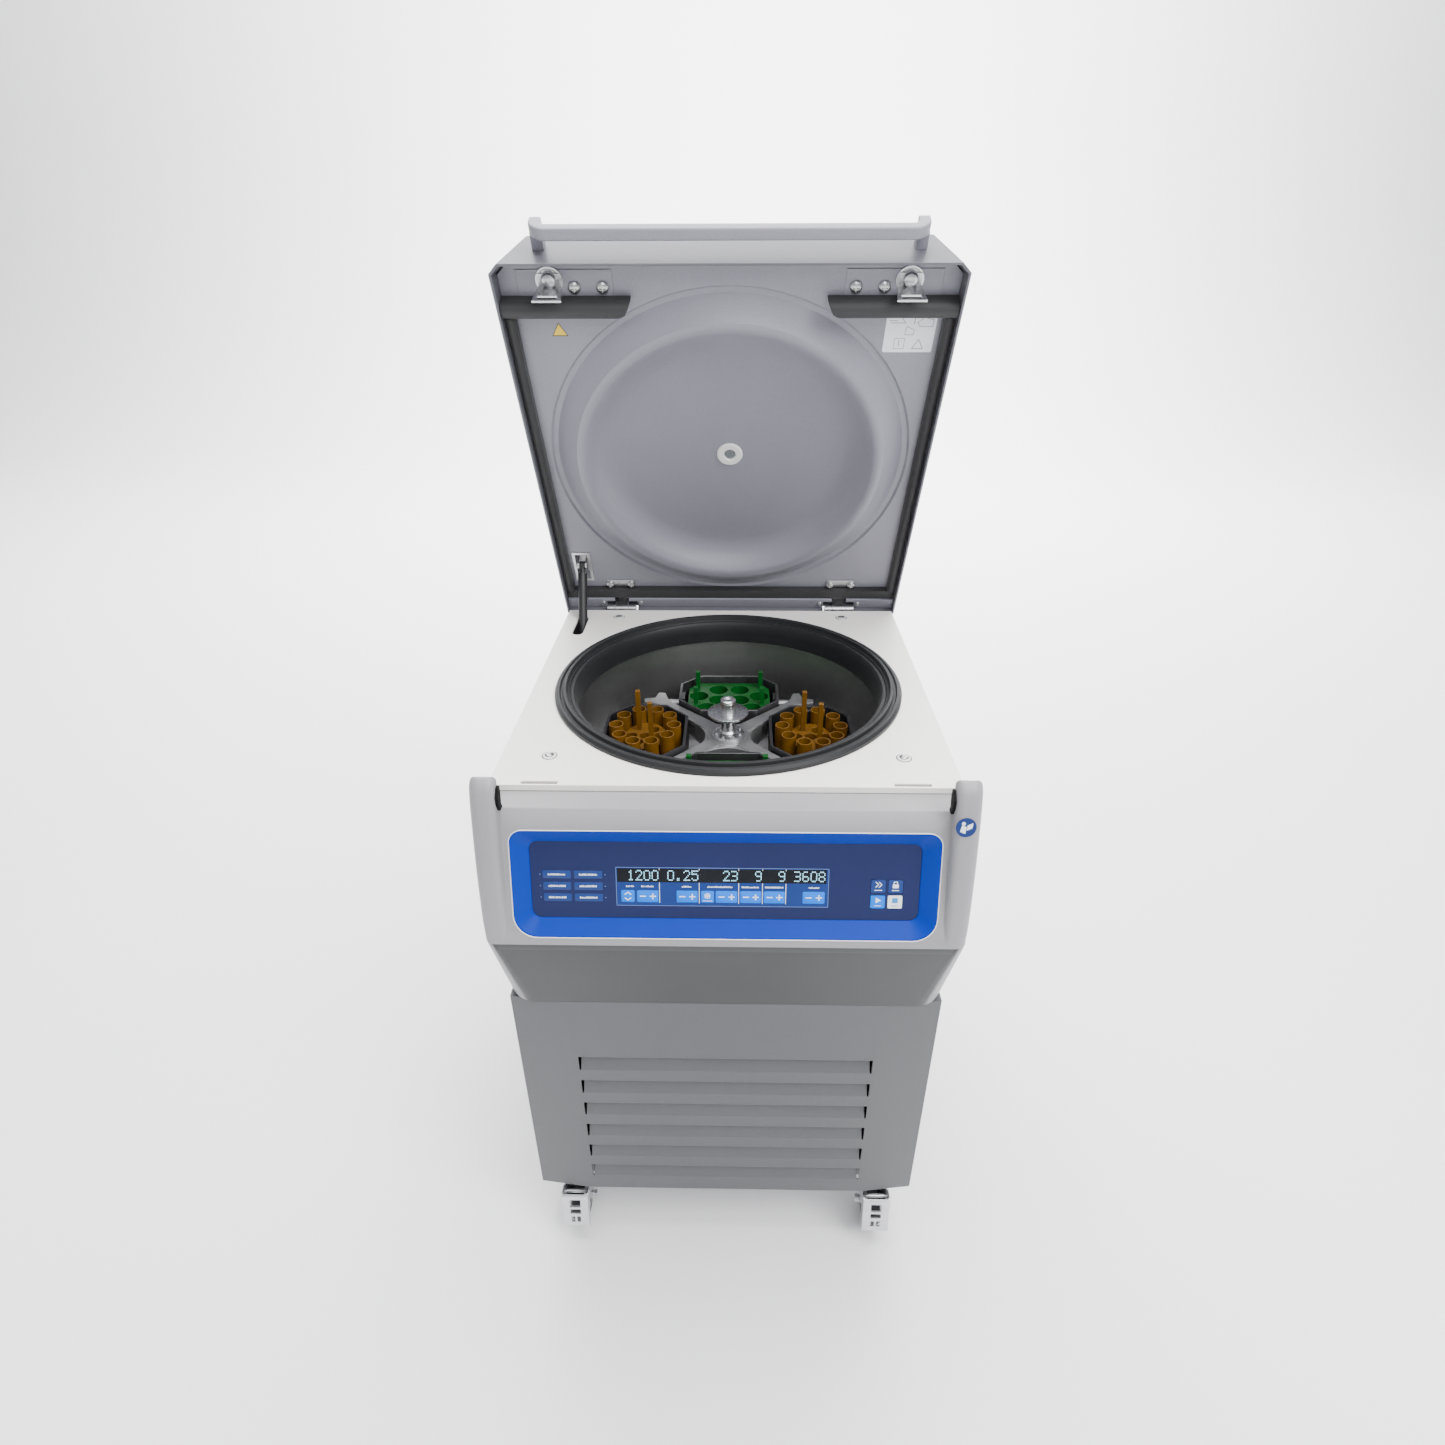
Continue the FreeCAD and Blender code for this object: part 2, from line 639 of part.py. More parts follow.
def lid_panel():
    """Inner lining: flat field, raised sealing ring and shallow dish."""
    t = 2.0
    x = lid_half_width - lid_wall - 0.3
    field = xy_prism([(-x, 281), (x, 281), (x, -275.5), (x - 22.5, -297.6), (-x + 22.5, -297.6), (-x, -275.5)], panel_z, panel_z + t)
    step = box(-x, x, 281, 283, 12.3, panel_z + t)
    flange = box(-x, x, 281, 300, 10.3, 12.3)
    ring = turned([
        (262, panel_z), (259, 27.3), (252, 27.3), (246, 23), (239, 18.3), (230, 12.4), (223, 6.6), (219, 6.1), (212, 6.1),
        (208, 8.4), (200, 18), (192, 27.5), (184, 34), (175, 38.2), (166, 40.2), (0, 42.3), (0, 44.8), (166, 42.8), (176, 40.8), (186, 36.4),
        (195, 29), (204, 19.4), (211, 10), (214, 9), (218, 9), (221, 9.6), (228, 15), (237, 21), (244, 25.6), (251, 30), (260, 30), (262, 28), (266, panel_z + t), (266, panel_z),
    ])
    field = field.cut(vcyl(264, 0, 0, panel_z - 5, panel_z + 10))
    panel = joined([field, step, flange, ring])
    cuts = [vcyl(14, 0, 0, 30, 60)]
    for side in (-190, 190):
        cuts.append(box(side - 27, side + 27, 286.8, 310, 5, 20))
        cuts.append(box(side - 12.4, side + 12.4, 280, 310, 5, 30))
    cuts.append(box(strut_x - 12.2, strut_x + 12.2, 186.8, 245.2, 20, 30))
    panel = without(panel, cuts)
    beads = []
    for side in (-1, 1):
        lo = min(side * 143, side * 261)
        hi = max(side * 143, side * 261)
        bead = box(lo, hi, -282, -241, panel_z - 1.0, panel_z + 0.2)
        beads.append(bead)
    panel = joined([panel] + [b.cut(vcyl(265, 0, 0, 0, 60)) for b in beads])
    return opened(panel)


def lid_handle():
    """Wide bar with upturned ends, stood off the lid's front by two arms."""
    k = math.sqrt(0.5)
    z0 = 12.3
    y0 = -333.8
    y1 = -319.2
    outer_r = 22.0
    inner_r = 8.0
    cx = 214.0
    cz = z0 + outer_r
    edges = []

    def arc(c, r, a0, a1):
        p = [V(c[0] + r * math.cos(a), y0, c[1] + r * math.sin(a)) for a in (a0, 0.5 * (a0 + a1), a1)]
        return Part.Arc(*p).toShape()

    half = math.pi / 2
    edges.append(Part.makeLine(V(-cx, y0, z0), V(cx, y0, z0)))
    edges.append(arc((cx, cz), outer_r, -half, 0))
    edges.append(Part.makeLine(V(cx + outer_r, y0, cz), V(cx + outer_r, y0, 44)))
    edges.append(Part.makeLine(V(cx + outer_r, y0, 44), V(cx + inner_r, y0, 44)))
    edges.append(Part.makeLine(V(cx + inner_r, y0, 44), V(cx + inner_r, y0, cz)))
    edges.append(arc((cx, cz), inner_r, 0, -half))
    edges.append(Part.makeLine(V(cx, y0, cz - inner_r), V(-cx, y0, cz - inner_r)))
    edges.append(arc((-cx, cz), inner_r, -half, -2 * half))
    edges.append(Part.makeLine(V(-cx - inner_r, y0, cz), V(-cx - inner_r, y0, 44)))
    edges.append(Part.makeLine(V(-cx - inner_r, y0, 44), V(-cx - outer_r, y0, 44)))
    edges.append(Part.makeLine(V(-cx - outer_r, y0, 44), V(-cx - outer_r, y0, cz)))
    edges.append(arc((-cx, cz), outer_r, -2 * half, -half))
    bar = Part.Face(Part.Wire(edges)).extrude(V(0, y1 - y0, 0))
    bar = bar.makeFillet(2.5, [e for e in bar.Edges if e.BoundBox.YLength < 0.01])
    arms = []
    for side in (-1, 1):
        a = min(side * 222, side * 236)
        b = max(side * 222, side * 236)
        arms.append(box(a, b, y1 - 2, lid_front, 30, 44))
    return opened(joined([bar] + arms))


def lid_seals():
    """Foam strips round the lining and two thick bumper strips at the front."""
    top = panel_z
    low = 13.3
    strips = []
    for side in (-1, 1):
        a = min(side * 270.6, side * 283.4)
        b = max(side * 270.6, side * 283.4)
        side_strip = box(a, b, -227.6, 262.2, low, top - 0.05)
        bulge = Part.makeCylinder(6.4, 489.8, V(side * 277, -227.6, low + 1.5), V(0, 1, 0))
        strips.append(joined([side_strip, bulge]).cut(box(-300, 300, -300, 300, top - 0.05, 60)))
        low_y = -250.0
        high_y = -228.0
        points = [(side * 122, low_y), (side * 283.4, low_y), (side * 283.4, high_y), (side * 140, high_y), (side * 129, high_y - 8)]
        bar = xy_prism(points, 9.5, top - 1.1)
        nose = Part.makeCylinder(11, 161.4, V(min(side * 122, side * 283.4), -239, 12), V(1, 0, 0))
        nose = nose.common(xy_prism(points, -20, 12))
        strips.append(joined([bar, nose]))
    bottom = box(-283.4, 283.4, 262.5, 280.6, low, top - 0.05)
    cuts = [box(x - 23.6, x + 23.6, 260, 282, 20, 30) for x in (-190, 190)]
    cuts += [box(x - 12.6, x + 12.6, 281, 300, 0, 30) for x in (-190, 190)]
    strips.append(without(bottom, cuts))
    strips = [s.cut(box(-300, 300, -300, -140, top - 1.05, 60)) for s in strips]
    return [opened(s) for s in strips]


def domed_screw(x, y, z, r):
    """Pan-head screw pointing up into the lid, with a cross recess."""
    head = turned([(0, z), (r, z), (r * 0.93, z - r * 0.32), (r * 0.66, z - r * 0.56), (r * 0.3, z - r * 0.68), (0, z - r * 0.7)])
    head.translate(V(x, y, 0))
    cross = [box(x - r * 0.5, x + r * 0.5, y - 0.8, y + 0.8, z - r, z - r * 0.4), box(x - 0.8, x + 0.8, y - r * 0.5, y + r * 0.5, z - r, z - r * 0.4)]
    return without(head, cross)


def lid_screws():
    places = [(side * x, -260.5, panel_z - 1.05, 8.0) for side in (-1, 1) for x in (156, 191)]
    places += [(side * (190 + d), 255.5, 21.55, 7.0) for side in (-1, 1) for d in (-18, 18)]
    places += [(side * (190 + d), 290.5, 10.25, 4.6) for side in (-1, 1) for d in (-33, 33)]
    return [opened(domed_screw(*p)) for p in places]


def lid_striker(x):
    """Loop plate, its foot and the domed clamp screw in a round cup."""
    y = striker_y
    base = panel_z - 1.05
    loop = xz_prism([(x - 14, base), (x + 14, base), (x + 18, -13.7), (x - 18, -13.7)], y - 1.25, y + 1.25)
    loop = loop.cut(box(x - 12, x + 12, y - 5, y + 5, -10.4, -2.2))
    foot = box(x - 14, x + 14, y - 16, y + 1.25, base - 2.5, base)
    cup = turned([(0, base), (17, base), (17, base - 1.4), (14.6, base - 1.4), (13.6, base - 0.7), (0, base - 0.7)])
    cup.translate(V(x, y - 7, 0))
    screw = turned([(0, base), (9.5, base), (9.5, base - 4.2), (7.8, base - 7), (4, base - 8.6), (0, base - 9)])
    screw.translate(V(x, y - 9, 0))
    return joined([loop, foot, cup, screw])


def lid_viewport():
    """White bezel and clear window at the centre of the lining."""
    ring = turned([(8.5, 40.6), (10, 38.8), (17, 38.8), (19, 40.4), (19, 41.9), (13.6, 41.9), (13.6, 46), (8.5, 46)])
    return opened(ring)


def lid_window():
    return opened(turned([(0, 41.4), (8.3, 41.4), (8.3, 44.4), (0, 44.4)]))


# ---- gas strut ----
def strut_line():
    """Open-position ends of the strut and the unit direction down it."""
    top = V(strut_x, strut_top[0], strut_top[1])
    turn = FreeCAD.Rotation(V(1, 0, 0), -lid_open_angle)
    pivot = V(0, hinge_y, hinge_z)
    a = pivot + turn.multVec(V(0, top.y, top.z) - pivot)
    a = V(strut_x, a.y, a.z)
    b = V(strut_x, strut_ring[0], strut_ring[1])
    return a, b, (b - a).normalize()


def along(a, d, s0, s1, r):
    return Part.makeCylinder(r, s1 - s0, a + d * s0, d)


def strut_cylinder():
    a, b, d = strut_line()
    eye = xcyl(6.5, strut_x - 4, strut_x + 4, a.y, a.z)
    neck = along(a, d, 3, 15, 4.0)
    tube = along(a, d, 14, 165, 7.5)
    body = joined([eye, neck, tube])
    cuts = [along(a, d, 24, 156, 6.0), along(a, d, 150, 170, 4 + running_gap), xcyl(2.5 + 0.05, strut_x - 10, strut_x + 10, a.y, a.z)]
    return without(body, cuts)


def strut_rod():
    a, b, d = strut_line()
    length = (b - a).Length
    rod = along(a, d, 130, length - 9, 4.0)
    piston = along(a, d, 126, 134, 5.92)
    ring = xcyl(13.5, strut_x - 6, strut_x + 6, b.y, b.z)
    whole = joined([rod, piston, ring])
    return whole.cut(xcyl(strut_ring_bore, strut_x - 10, strut_x + 10, b.y, b.z))


# ---- rotor ----
def quarter(shape, n):
    turned_copy = shape.copy()
    turned_copy.rotate(V(0, 0, 0), V(0, 0, 1), 90 * n)
    return turned_copy


def rotor_cross():
    """Four-armed rotor yoke; each arm ends in a flared tip with a pin on either side."""
    core = box(-52, 52, -52, 52, -116, -88)
    for n in range(4):
        core = core.cut(quarter(vcyl(46, 80, 0, -120, -80), n))
    arm = joined([
        xy_prism([(30, -11), (120, -9), (142, -9), (152, -12), (170, -22), (178, -15), (169, 0), (178, 15), (170, 22), (152, 12), (142, 9), (120, 9), (30, 11)], -93, -86),
        xz_prism([(30, -118), (120, -114), (164, -104), (164, -90), (30, -90)], -6, 6),
    ])
    pin_block = box(148, 166, -14, 14, -106, -90)
    arm = joined([arm, pin_block])
    arm.rotate(V(0, 0, 0), V(0, 0, 1), 45)
    boss = vcyl(31, 0, 0, -122, -86)
    cross = joined([core, boss] + [quarter(arm, n) for n in range(4)])
    pins = []
    for n in range(4):
        for x0, x1 in ((74.5, 118), (-118, -74.5)):
            pins.append(quarter(xcyl(pin_r, x0, x1, pivot_r, pivot_z), n))
    cross = joined([cross] + pins)
    return cross.cut(vcyl(9.05, 0, 0, -130, -70))


def rotor_hub():
    """Bolted steel hub, lift-off disc and the lock knob on top."""
    hub = turned([(9.1, -86), (25, -86), (25, -82.5), (20, -80), (13, -78.5), (10.5, -75), (10.5, -52), (12, -50), (29, -50), (30, -49), (30, -46.5), (29, -46), (11.3, -46), (11.3, -30), (9.1, -30)])
    screws = []
    for n in range(8):
        a = 2 * math.pi * (n + 0.5) / 8
        screws.append(vcyl(2.4, 19.5 * math.cos(a), 19.5 * math.sin(a), -82, -78))
    knob = turned([(0, -30), (11, -30), (11.5, -29), (11.5, -26.5), (9.5, -25), (6, -25), (5, -27), (0, -27)])
    return [joined([hub] + screws), knob]


def drive_shaft():
    shaft = vcyl(9, 0, 0, -398, -30.1)
    core = vcyl(12.4, 0, 0, -396, -312)
    return joined([shaft, core])


def bucket_plan(grow):
    """Plan outline of a bucket on +Y: wide octagon with its inner corners cut back more."""
    t = bucket_half_t + grow
    r = bucket_half_r + grow
    c = pivot_r
    return [
        (-44, c - r), (44, c - r), (t, c - 26), (t, c + 30), (50, c + r - 3), (42, c + r), (-42, c + r), (-50, c + r - 3), (-t, c + 30), (-t, c - 26),
    ]


def bucket_base():
    """Bucket drawn on +Y: tapered cup, thick rim, hanging blocks with blind pin bores."""
    cup = xy_prism(bucket_plan(0), -132, bucket_top)
    low = bucket_plan(-4)
    foot = [(x * 0.62, pivot_r + (y - pivot_r) * 0.68) for x, y in low]
    low_wire = Part.makePolygon([V(x, y, -132) for x, y in low] + [V(low[0][0], low[0][1], -132)])
    foot_wire = Part.makePolygon([V(x, y, bucket_bottom) for x, y in foot] + [V(foot[0][0], foot[0][1], bucket_bottom)])
    base = Part.makeLoft([foot_wire, low_wire], True, True)
    cup = joined([cup, base])
    well = xy_prism(bucket_plan(-4), -130, bucket_top + 5)
    deep = [(x * 0.56, pivot_r + (y - pivot_r) * 0.60) for x, y in low]
    inner_top = [V(x, y, -130) for x, y in bucket_plan(-7)]
    inner_low = [V(x, y, bucket_bottom + 4) for x, y in deep]
    lower_well = Part.makeLoft([Part.makePolygon(inner_low + [inner_low[0]]), Part.makePolygon(inner_top + [inner_top[0]])], True, True)
    cup = cup.cut(well).cut(lower_well)
    blocks = []
    for side in (-1, 1):
        a = min(side * 71.5, side * bucket_half_t)
        b = max(side * 71.5, side * bucket_half_t)
        blocks.append(box(a, b, pivot_r - 11, pivot_r + 11, -112, -84))
    cup = joined([cup] + blocks)
    bores = []
    for side in (-1, 1):
        a = min(side * 73.6, side * 90)
        b = max(side * 73.6, side * 90)
        bores.append(xcyl(pin_r + running_gap, a, b, pivot_r, pivot_z))
    return without(cup, bores)


def own_cell(shape, centre, others, gap):
    """The share of a shape that is nearer to one centre than to any other, less a hairline seam."""
    for ox, oy in others:
        dx = ox - centre[0]
        dy = oy - centre[1]
        reach = math.hypot(dx, dy)
        far = box(reach / 2 - gap, 400, -400, 400, -140, -10)
        far.rotate(V(0, 0, 0), V(0, 0, 1), math.degrees(math.atan2(dy, dx)))
        far.translate(V(centre[0], centre[1], 0))
        shape = shape.cut(far)
    return shape


def green_rack():
    """Rack for wide tubes drawn on +Y: floor plate, four posts and nine flanged sleeves that make its top."""
    c = pivot_r
    outline = [(-38, c - 54), (38, c - 54), (66, c - 27), (66, c + 32), (46, c + 52), (-46, c + 52), (-66, c + 32), (-66, c - 27)]
    solids = [xy_prism([(x * 0.9, c + (y - c) * 0.9) for x, y in outline], -126, -122)]
    posts = []
    for x, y in ((-53, c - 20.5), (-51.5, c + 35.5), (53, c - 20.5), (51.5, c + 35.5)):
        posts.append((x, y))
        solids.append(box(x - 3.5, x + 3.5, y - 3.5, y + 3.5, -122, -58))
    slots = [box(x - 3.6, x + 3.6, y - 3.6, y + 3.6, -130, -50) for x, y in posts]
    places = green_wells()
    for spot in places:
        sleeve = joined([xy_prism(outline, -92, -88), vcyl(17.2, spot[0], spot[1], -122, -88)])
        sleeve = own_cell(sleeve, spot, [q for q in places if q != spot], 0.05)
        bore = vcyl(15.2, spot[0], spot[1], -124, -80)
        solids.append(without(sleeve, [bore] + slots))
    return solids


def green_wells():
    c = pivot_r
    half = [(17.4, 28), (49, 6), (17.4, -7.5), (36, -34)]
    return [(side * x, c + y) for side in (-1, 1) for x, y in half] + [(0, c - 37.5)]


def amber_sleeves():
    """Raised outer sleeves on a ring, lower wells inside it and two lift posts."""
    c = pivot_r
    raised = []
    for n in range(10):
        a = math.radians(36 * n + 18)
        raised.append((49.7 * math.cos(a), c + 43 * math.sin(a)))
    low = []
    posts = []
    for n in range(6):
        a = math.radians(60 * n + 30)
        spot = (21.5 * math.cos(a), c + 21.5 * math.sin(a))
        if n % 3 == 0:
            posts.append(spot)
        else:
            low.append(spot)
    low.append((0, c))
    return raised, low, posts


def amber_rack():
    """Tube rack drawn on +Y: floor plate, tall sleeves round its edge, flanged low wells and two lift posts."""
    raised, low, spots = amber_sleeves()
    c = pivot_r
    solids = [xy_prism([(-38, c - 50), (38, c - 50), (62, c - 24), (62, c + 28), (42, c + 50), (-42, c + 50), (-62, c + 28), (-62, c - 24)], -126, -122)]
    for x, y in raised:
        solids.append(vcyl(10.8, x, y, -122, -68).cut(vcyl(9.2, x, y, -125, -60)))
    edge = [(39 * math.cos(math.radians(12 * n)), c + 31 * math.sin(math.radians(12 * n))) for n in range(30)]
    guards = [vcyl(10.9, x, y, -130, -60) for x, y in raised]
    middle = low + spots
    for spot in middle:
        others = [q for q in middle if q != spot]
        if spot in low:
            core = vcyl(10.4, spot[0], spot[1], -122, -88)
            cuts = [vcyl(9.0, spot[0], spot[1], -124, -80)]
        else:
            core = box(spot[0] - 3.5, spot[0] + 3.5, spot[1] - 3.5, spot[1] + 3.5, -122, -22)
            cuts = []
        well = own_cell(joined([xy_prism(edge, -92, -88), core]), spot, others, 0.05)
        solids.append(without(well, cuts + guards))
    return solids


# ---- castors ----
def castor_fork(x, y, back, braked):
    """Pressed fork; back is -1 when the wheel trails towards the front."""
    z_top = body_bottom - 10
    crown = vcyl(26, x, y, z_top - 7, z_top)
    axle_y = y + back * castor_trail
    axle_z = -deck_height + wheel_r
    parts = [crown]
    for side in (-1, 1):
        a = min(x + side * 14, x + side * 17)
        b = max(x + side * 14, x + side * 17)
        tip = 68 if braked else 44
        outline = [(y - back * 20, z_top - 7), (y - back * 20, z_top), (y + back * tip, z_top), (y + back * tip, z_top - 16), (axle_y + back * 11, axle_z + 4), (axle_y + back * 5, axle_z - 10), (axle_y - back * 5, axle_z - 10), (axle_y - back * 11, axle_z + 4)]
        leg = yz_prism(outline, a, b)
        parts.append(leg)
    parts.append(box(x - 17, x + 17, min(y - back * 20, y + back * 24), max(y - back * 20, y + back * 24), z_top - 3, z_top))
    parts.append(xcyl(4, x - 17, x + 17, axle_y, axle_z))
    parts.append(xcyl(6.5, x - 19.4, x - 17, axle_y, axle_z))
    parts.append(xcyl(6.5, x + 17, x + 19.4, axle_y, axle_z))
    if braked:
        parts.append(xcyl(2.5, x - 20.5, x + 20.5, y + back * 62, z_top - 9))
    fork = joined(parts)
    return without(fork, [vcyl(8 + running_gap, x, y, z_top - 30, z_top + 5)])


def castor_wheel(x, y, back):
    axle_y = y + back * castor_trail
    profile = [(4 + running_gap, -12.6), (11, -12.6), (12, -9), (26, -9), (28, -12), (34, -12), (37.1, -9), (wheel_r, -4), (wheel_r, 4), (37.1, 9), (34, 12), (28, 12), (26, 9), (12, 9), (11, 12.6), (4 + running_gap, 12.6)]
    wheel = turned(profile)
    wheel.rotate(V(0, 0, 0), V(0, 1, 0), 90)
    wheel.translate(V(x, axle_y, -deck_height + wheel_r))
    return wheel


def brake_pedal(x, y, back):
    """Pressed pedal over the front of the wheel, with two windows and a tread lip."""
    z_top = body_bottom - 10
    p = y + back * 62
    q = z_top - 9
    f = y + back * 70
    outline = [(p - back * 7, q + 5), (f, q + 7), (f + back * 4, q + 4), (f + back * 13, q - 56), (f + back * 10, q - 60), (f + back * 2, q - 50), (p - back * 7, q - 8)]
    cheeks = []
    for side in (-1, 1):
        a = min(x + side * 17.8, x + side * 20)
        b = max(x + side * 17.8, x + side * 20)
        cheeks.append(yz_prism(outline, a, b))
    plate = [(f + back * 1.6, q + 6.2), (f + back * 4, q + 4), (f + back * 13, q - 56), (f + back * 10.6, q - 58), (f + back * 1.6, q + 2)]
    front = yz_prism(plate, x - 20, x + 20)
    pedal = joined([front] + cheeks)
    windows = [box(x - 8, x + 8, f - 20, f + 20, q - 18, q - 3), box(x - 8, x + 8, f - 20, f + 20, q - 31, q - 22), box(x - 7, x - 1.5, f - 22, f + 22, q - 48, q - 37), box(x + 1.5, x + 7, f - 22, f + 22, q - 48, q - 37)]
    pedal = without(pedal, windows)
    return pedal.cut(xcyl(2.5 + running_gap, x - 30, x + 30, p, q))


# ---- write every node ----
write("base_frame", [base_frame()])
write("castor_plates", [castor_plate(x, y) for x in (-castor_x, castor_x) for y in (castor_front_y, castor_rear_y)])
write("side_panels", [side_panel(), joined([mirrored_x(side_panel()), strut_bracket_lower()])])
write("rear_panel", [rear_panel()])
write("front_panel", [front_panel()])
write("front_console", [front_console()])
write("console_seals", console_seals())
write("display_surround", [display_surround()])
write("keypad_film", [keypad_film()])
write("display_module", [display_module()])
for key_name, (key_x, key_y) in key_positions().items():
    write(key_name, [command_key(key_x, key_y)])
write("top_deck", [top_deck()])
write("deck_screws", deck_screws())
write("chamber_seal", [chamber_seal()])
write("chamber_bowl", [chamber_bowl()])
write("drive_motor", [drive_motor()])
write("inner_frame", [inner_frame()])
write("compressor", [compressor()])
write("condenser", [condenser()])
write("condenser_fan", [fan_blades()])
write("latch_housings", [latch_housing(-striker_x), latch_housing(striker_x)])
write("latch_hook_left", [latch_hook(-striker_x)])
write("latch_hook_right", [latch_hook(striker_x)])
write("mains_inlet", mains_inlet())
write("mains_rocker", [mains_rocker()])
write("hinge_leaves_lower", [hinge_leaf_lower(-190), hinge_leaf_lower(190)])
write("lid_brackets", [hinge_leaf_upper(-190), hinge_leaf_upper(190), strut_bracket_upper()])
write("lid_shell", [lid_shell()])
write("lid_panel", [lid_panel()])
write("lid_handle", [lid_handle()])
write("lid_seals", lid_seals())
write("lid_screws", lid_screws())
write("lid_strikers", [opened(lid_striker(-striker_x)), opened(lid_striker(striker_x))])
write("lid_viewport", [lid_viewport()])
write("lid_window", [lid_window()])
write("strut_cylinder", [strut_cylinder()])
write("strut_rod", [strut_rod()])
write("rotor_cross", [rotor_cross()])
write("rotor_hub", rotor_hub() + [drive_shaft()])
for number, place in enumerate(("rear", "left", "front", "right")):
    write("bucket_%s" % place, [quarter(bucket_base(), number)])
    rack = green_rack() if number % 2 == 0 else amber_rack()
    write("rack_%s" % place, [quarter(piece, number) for piece in rack])
castors = {
    "front_left": (-castor_x, castor_front_y, -1, True),
    "front_right": (castor_x, castor_front_y, -1, True),
    "rear_left": (-castor_x, castor_rear_y, 1, False),
    "rear_right": (castor_x, castor_rear_y, 1, False),
}
for place, (cx, cy, trail, braked) in castors.items():
    write("fork_" + place, [castor_fork(cx, cy, trail, braked)])
    write("wheel_" + place, [castor_wheel(cx, cy, trail)])
    if braked:
        write("brake_pedal_" + place, [brake_pedal(cx, cy, trail)])
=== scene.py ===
import bpy
import bmesh
import json
import math
import random
from mathutils import Matrix, Vector


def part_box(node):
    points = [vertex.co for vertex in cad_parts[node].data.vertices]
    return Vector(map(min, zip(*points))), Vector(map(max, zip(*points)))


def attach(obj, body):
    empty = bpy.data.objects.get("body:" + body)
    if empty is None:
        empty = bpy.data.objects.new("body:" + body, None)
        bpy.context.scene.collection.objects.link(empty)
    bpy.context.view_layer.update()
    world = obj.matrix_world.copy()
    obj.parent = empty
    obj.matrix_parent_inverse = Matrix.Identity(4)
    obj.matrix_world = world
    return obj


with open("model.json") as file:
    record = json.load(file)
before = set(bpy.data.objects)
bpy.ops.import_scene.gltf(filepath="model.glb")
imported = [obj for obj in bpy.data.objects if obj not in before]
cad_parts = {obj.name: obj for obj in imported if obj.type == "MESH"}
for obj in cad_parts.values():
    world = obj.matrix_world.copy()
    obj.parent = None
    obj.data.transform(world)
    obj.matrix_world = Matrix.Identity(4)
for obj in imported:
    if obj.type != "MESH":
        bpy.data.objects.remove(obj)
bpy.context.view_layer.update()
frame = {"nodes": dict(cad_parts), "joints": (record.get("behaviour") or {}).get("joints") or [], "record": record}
NODES = frame["nodes"]
HINGE = Vector(next(j for j in frame["joints"] if j["name"] == "lid_hinge")["pos_m"])
LID_OPEN = math.radians(64.3)
SHARP_ANGLE = math.radians(32)


# ---------------------------------------------------------------- materials
def node(tree, kind, **sockets):
    """New shader node with some of its inputs set."""
    n = tree.nodes.new(kind)
    for key, value in sockets.items():
        n.inputs[key.replace("_", " ")].default_value = value
    return n


